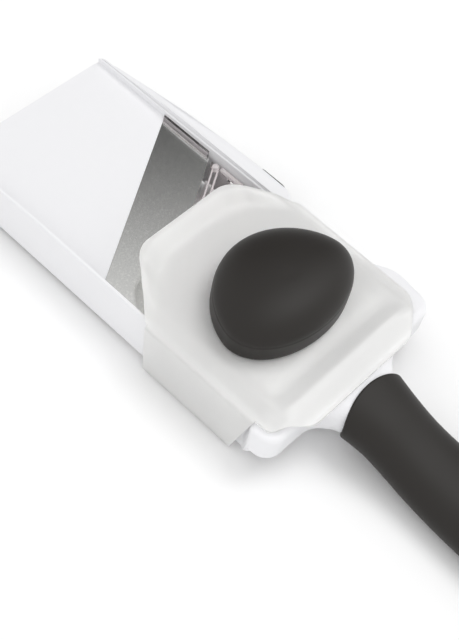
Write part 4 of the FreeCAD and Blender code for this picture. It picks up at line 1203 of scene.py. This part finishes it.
def buildTrim():
    s = clearTrim
    pieces = []
    for shift in (0, s["ribGap"]):
        corners = []
        for side, extra in ((s["ribNear"], 0), (s["ribNear"], s["ribWide"]), (s["ribFar"], s["ribWide"]),
                            (s["ribFar"], 0)):
            corners.append((bladeX(s["bladeRun"] + s["ribStart"] + shift + extra, side), side, 0.45))
        pieces.append(slab("rib", cornered(corners, 3), s["ribLow"], s["ribTop"], 0.35))
    x = bladeX(s["bladeRun"] + s["ribStart"] + s["postShift"], s["ribFar"])
    radius = s["postRadius"]
    pieces.append(lathe("post", [(radius, s["ribLow"]), (radius, s["postTop"] - 0.8),
                                 (radius * 0.86, s["postTop"] - 0.3),
                                 (radius * 0.5, s["postTop"])], (x, s["ribFar"], 0), "Z", 24))
    for start, end in s["clips"]:
        pieces.append(capsule("clip", start, end, s["clipY"], s["clipLevel"], s["clipRadius"]))
    trim = joinPieces("rampTrim", pieces)
    return finished(shaded(trim, 40, False), "ramp", materials["clearEdge"], "clear_plastic")


buildGrown()
buildTrim()


# CAD pieces that keep their own shape
kept = {
    "blade": "blade", "blade_carrier": "clear", "ramp": "clear", "ramp_hinge_pin": "steel",
    "cam_shaft": "steel", "ramp_cam": "nylon", "shaft_bush": "nylon", "cam_bracket": "nylon",
    "shaft_clip": "spring", "thickness_knob": "hardBlack", "click_spring": "spring", "front_foot": "grey",
    "rear_feet": "grey", "hang_ring": "hardBlack", "prong_plate": "frost", "knob_core": "hardBlack",
}
for node, key in kept.items():
    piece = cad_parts[node]
    piece.data.materials.clear()
    piece.data.materials.append(materials[key])
print("CAD pieces painted:", len(kept))


# stage: a pale table, a bright room and soft lamps
stageLook = {
    "table": 3.0, "tableColour": (0.96, 0.96, 0.96), "room": 1.0, "roomColour": (1, 1, 1), "card": 0.04,
    "cardAzimuth": 128, "cardElevation": 18, "cardInner": 30, "cardOuter": 39,
}
lampLook = {"place": (0.36, 0.55, 1.3), "aim": (0.17, 0, 0.02), "size": 0.8, "power": 4.8}


def buildStage():
    size = stageLook["table"] / mm
    table = newPiece("table", [(-size, -size, 0), (size, -size, 0), (size, size, 0), (-size, size, 0)],
                     [(0, 1, 2, 3)])
    material = bpy.data.materials.new("paleTable")
    nodes = tree(material).nodes
    surface = put(nodes, "ShaderNodeBsdfPrincipled", Roughness=0.9)
    surface.inputs["Base Color"].default_value = colour(*stageLook["tableColour"])
    output = nodes.new("ShaderNodeOutputMaterial")
    material.node_tree.links.new(surface.outputs[0], output.inputs[0])
    table.data.materials.append(material)
    world = bpy.data.worlds.new("room")
    world.use_nodes = True
    nodes, link = world.node_tree.nodes, world.node_tree.links.new
    turn, rise = (math.radians(stageLook[key]) for key in ("cardAzimuth", "cardElevation"))
    towards = (math.cos(turn) * math.cos(rise), math.sin(turn) * math.cos(rise), math.sin(rise))
    direction = nodes.new("ShaderNodeTexCoord")
    near = put(nodes, "ShaderNodeVectorMath", operation="DOT_PRODUCT")
    near.inputs[1].default_value = towards
    card = put(nodes, "ShaderNodeMapRange", interpolation_type="SMOOTHSTEP")
    card.inputs["From Min"].default_value = math.cos(math.radians(stageLook["cardOuter"]))
    card.inputs["From Max"].default_value = math.cos(math.radians(stageLook["cardInner"]))
    card.inputs["To Min"].default_value = stageLook["room"]
    card.inputs["To Max"].default_value = stageLook["card"]
    link(direction.outputs["Generated"], near.inputs[0])
    link(near.outputs["Value"], card.inputs["Value"])
    link(card.outputs[0], nodes["Background"].inputs["Strength"])
    nodes["Background"].inputs["Color"].default_value = colour(*stageLook["roomColour"])
    seen, light, both = (nodes.new(kind) for kind in
                         ("ShaderNodeBackground", "ShaderNodeLightPath", "ShaderNodeMixShader"))
    seen.inputs["Color"].default_value = colour(*stageLook["roomColour"])
    link(light.outputs["Is Camera Ray"], both.inputs[0])
    link(nodes["Background"].outputs[0], both.inputs[1])
    link(seen.outputs[0], both.inputs[2])
    link(both.outputs[0], nodes["World Output"].inputs["Surface"])
    scene.world = world


def softLamp(name, place, aim, size, power):
    data = bpy.data.lights.new(name, "AREA")
    data.shape, data.size, data.energy = "DISK", size, power
    lamp = bpy.data.objects.new(name, data)
    lamp.location = place
    lamp.rotation_euler = (Vector(aim) - Vector(place)).to_track_quat("-Z", "Y").to_euler()
    scene.collection.objects.link(lamp)


buildStage()
softLamp("keyLamp", lampLook["place"], lampLook["aim"], lampLook["size"], lampLook["power"])
scene.view_settings.view_transform = "Standard"
print("stage built")
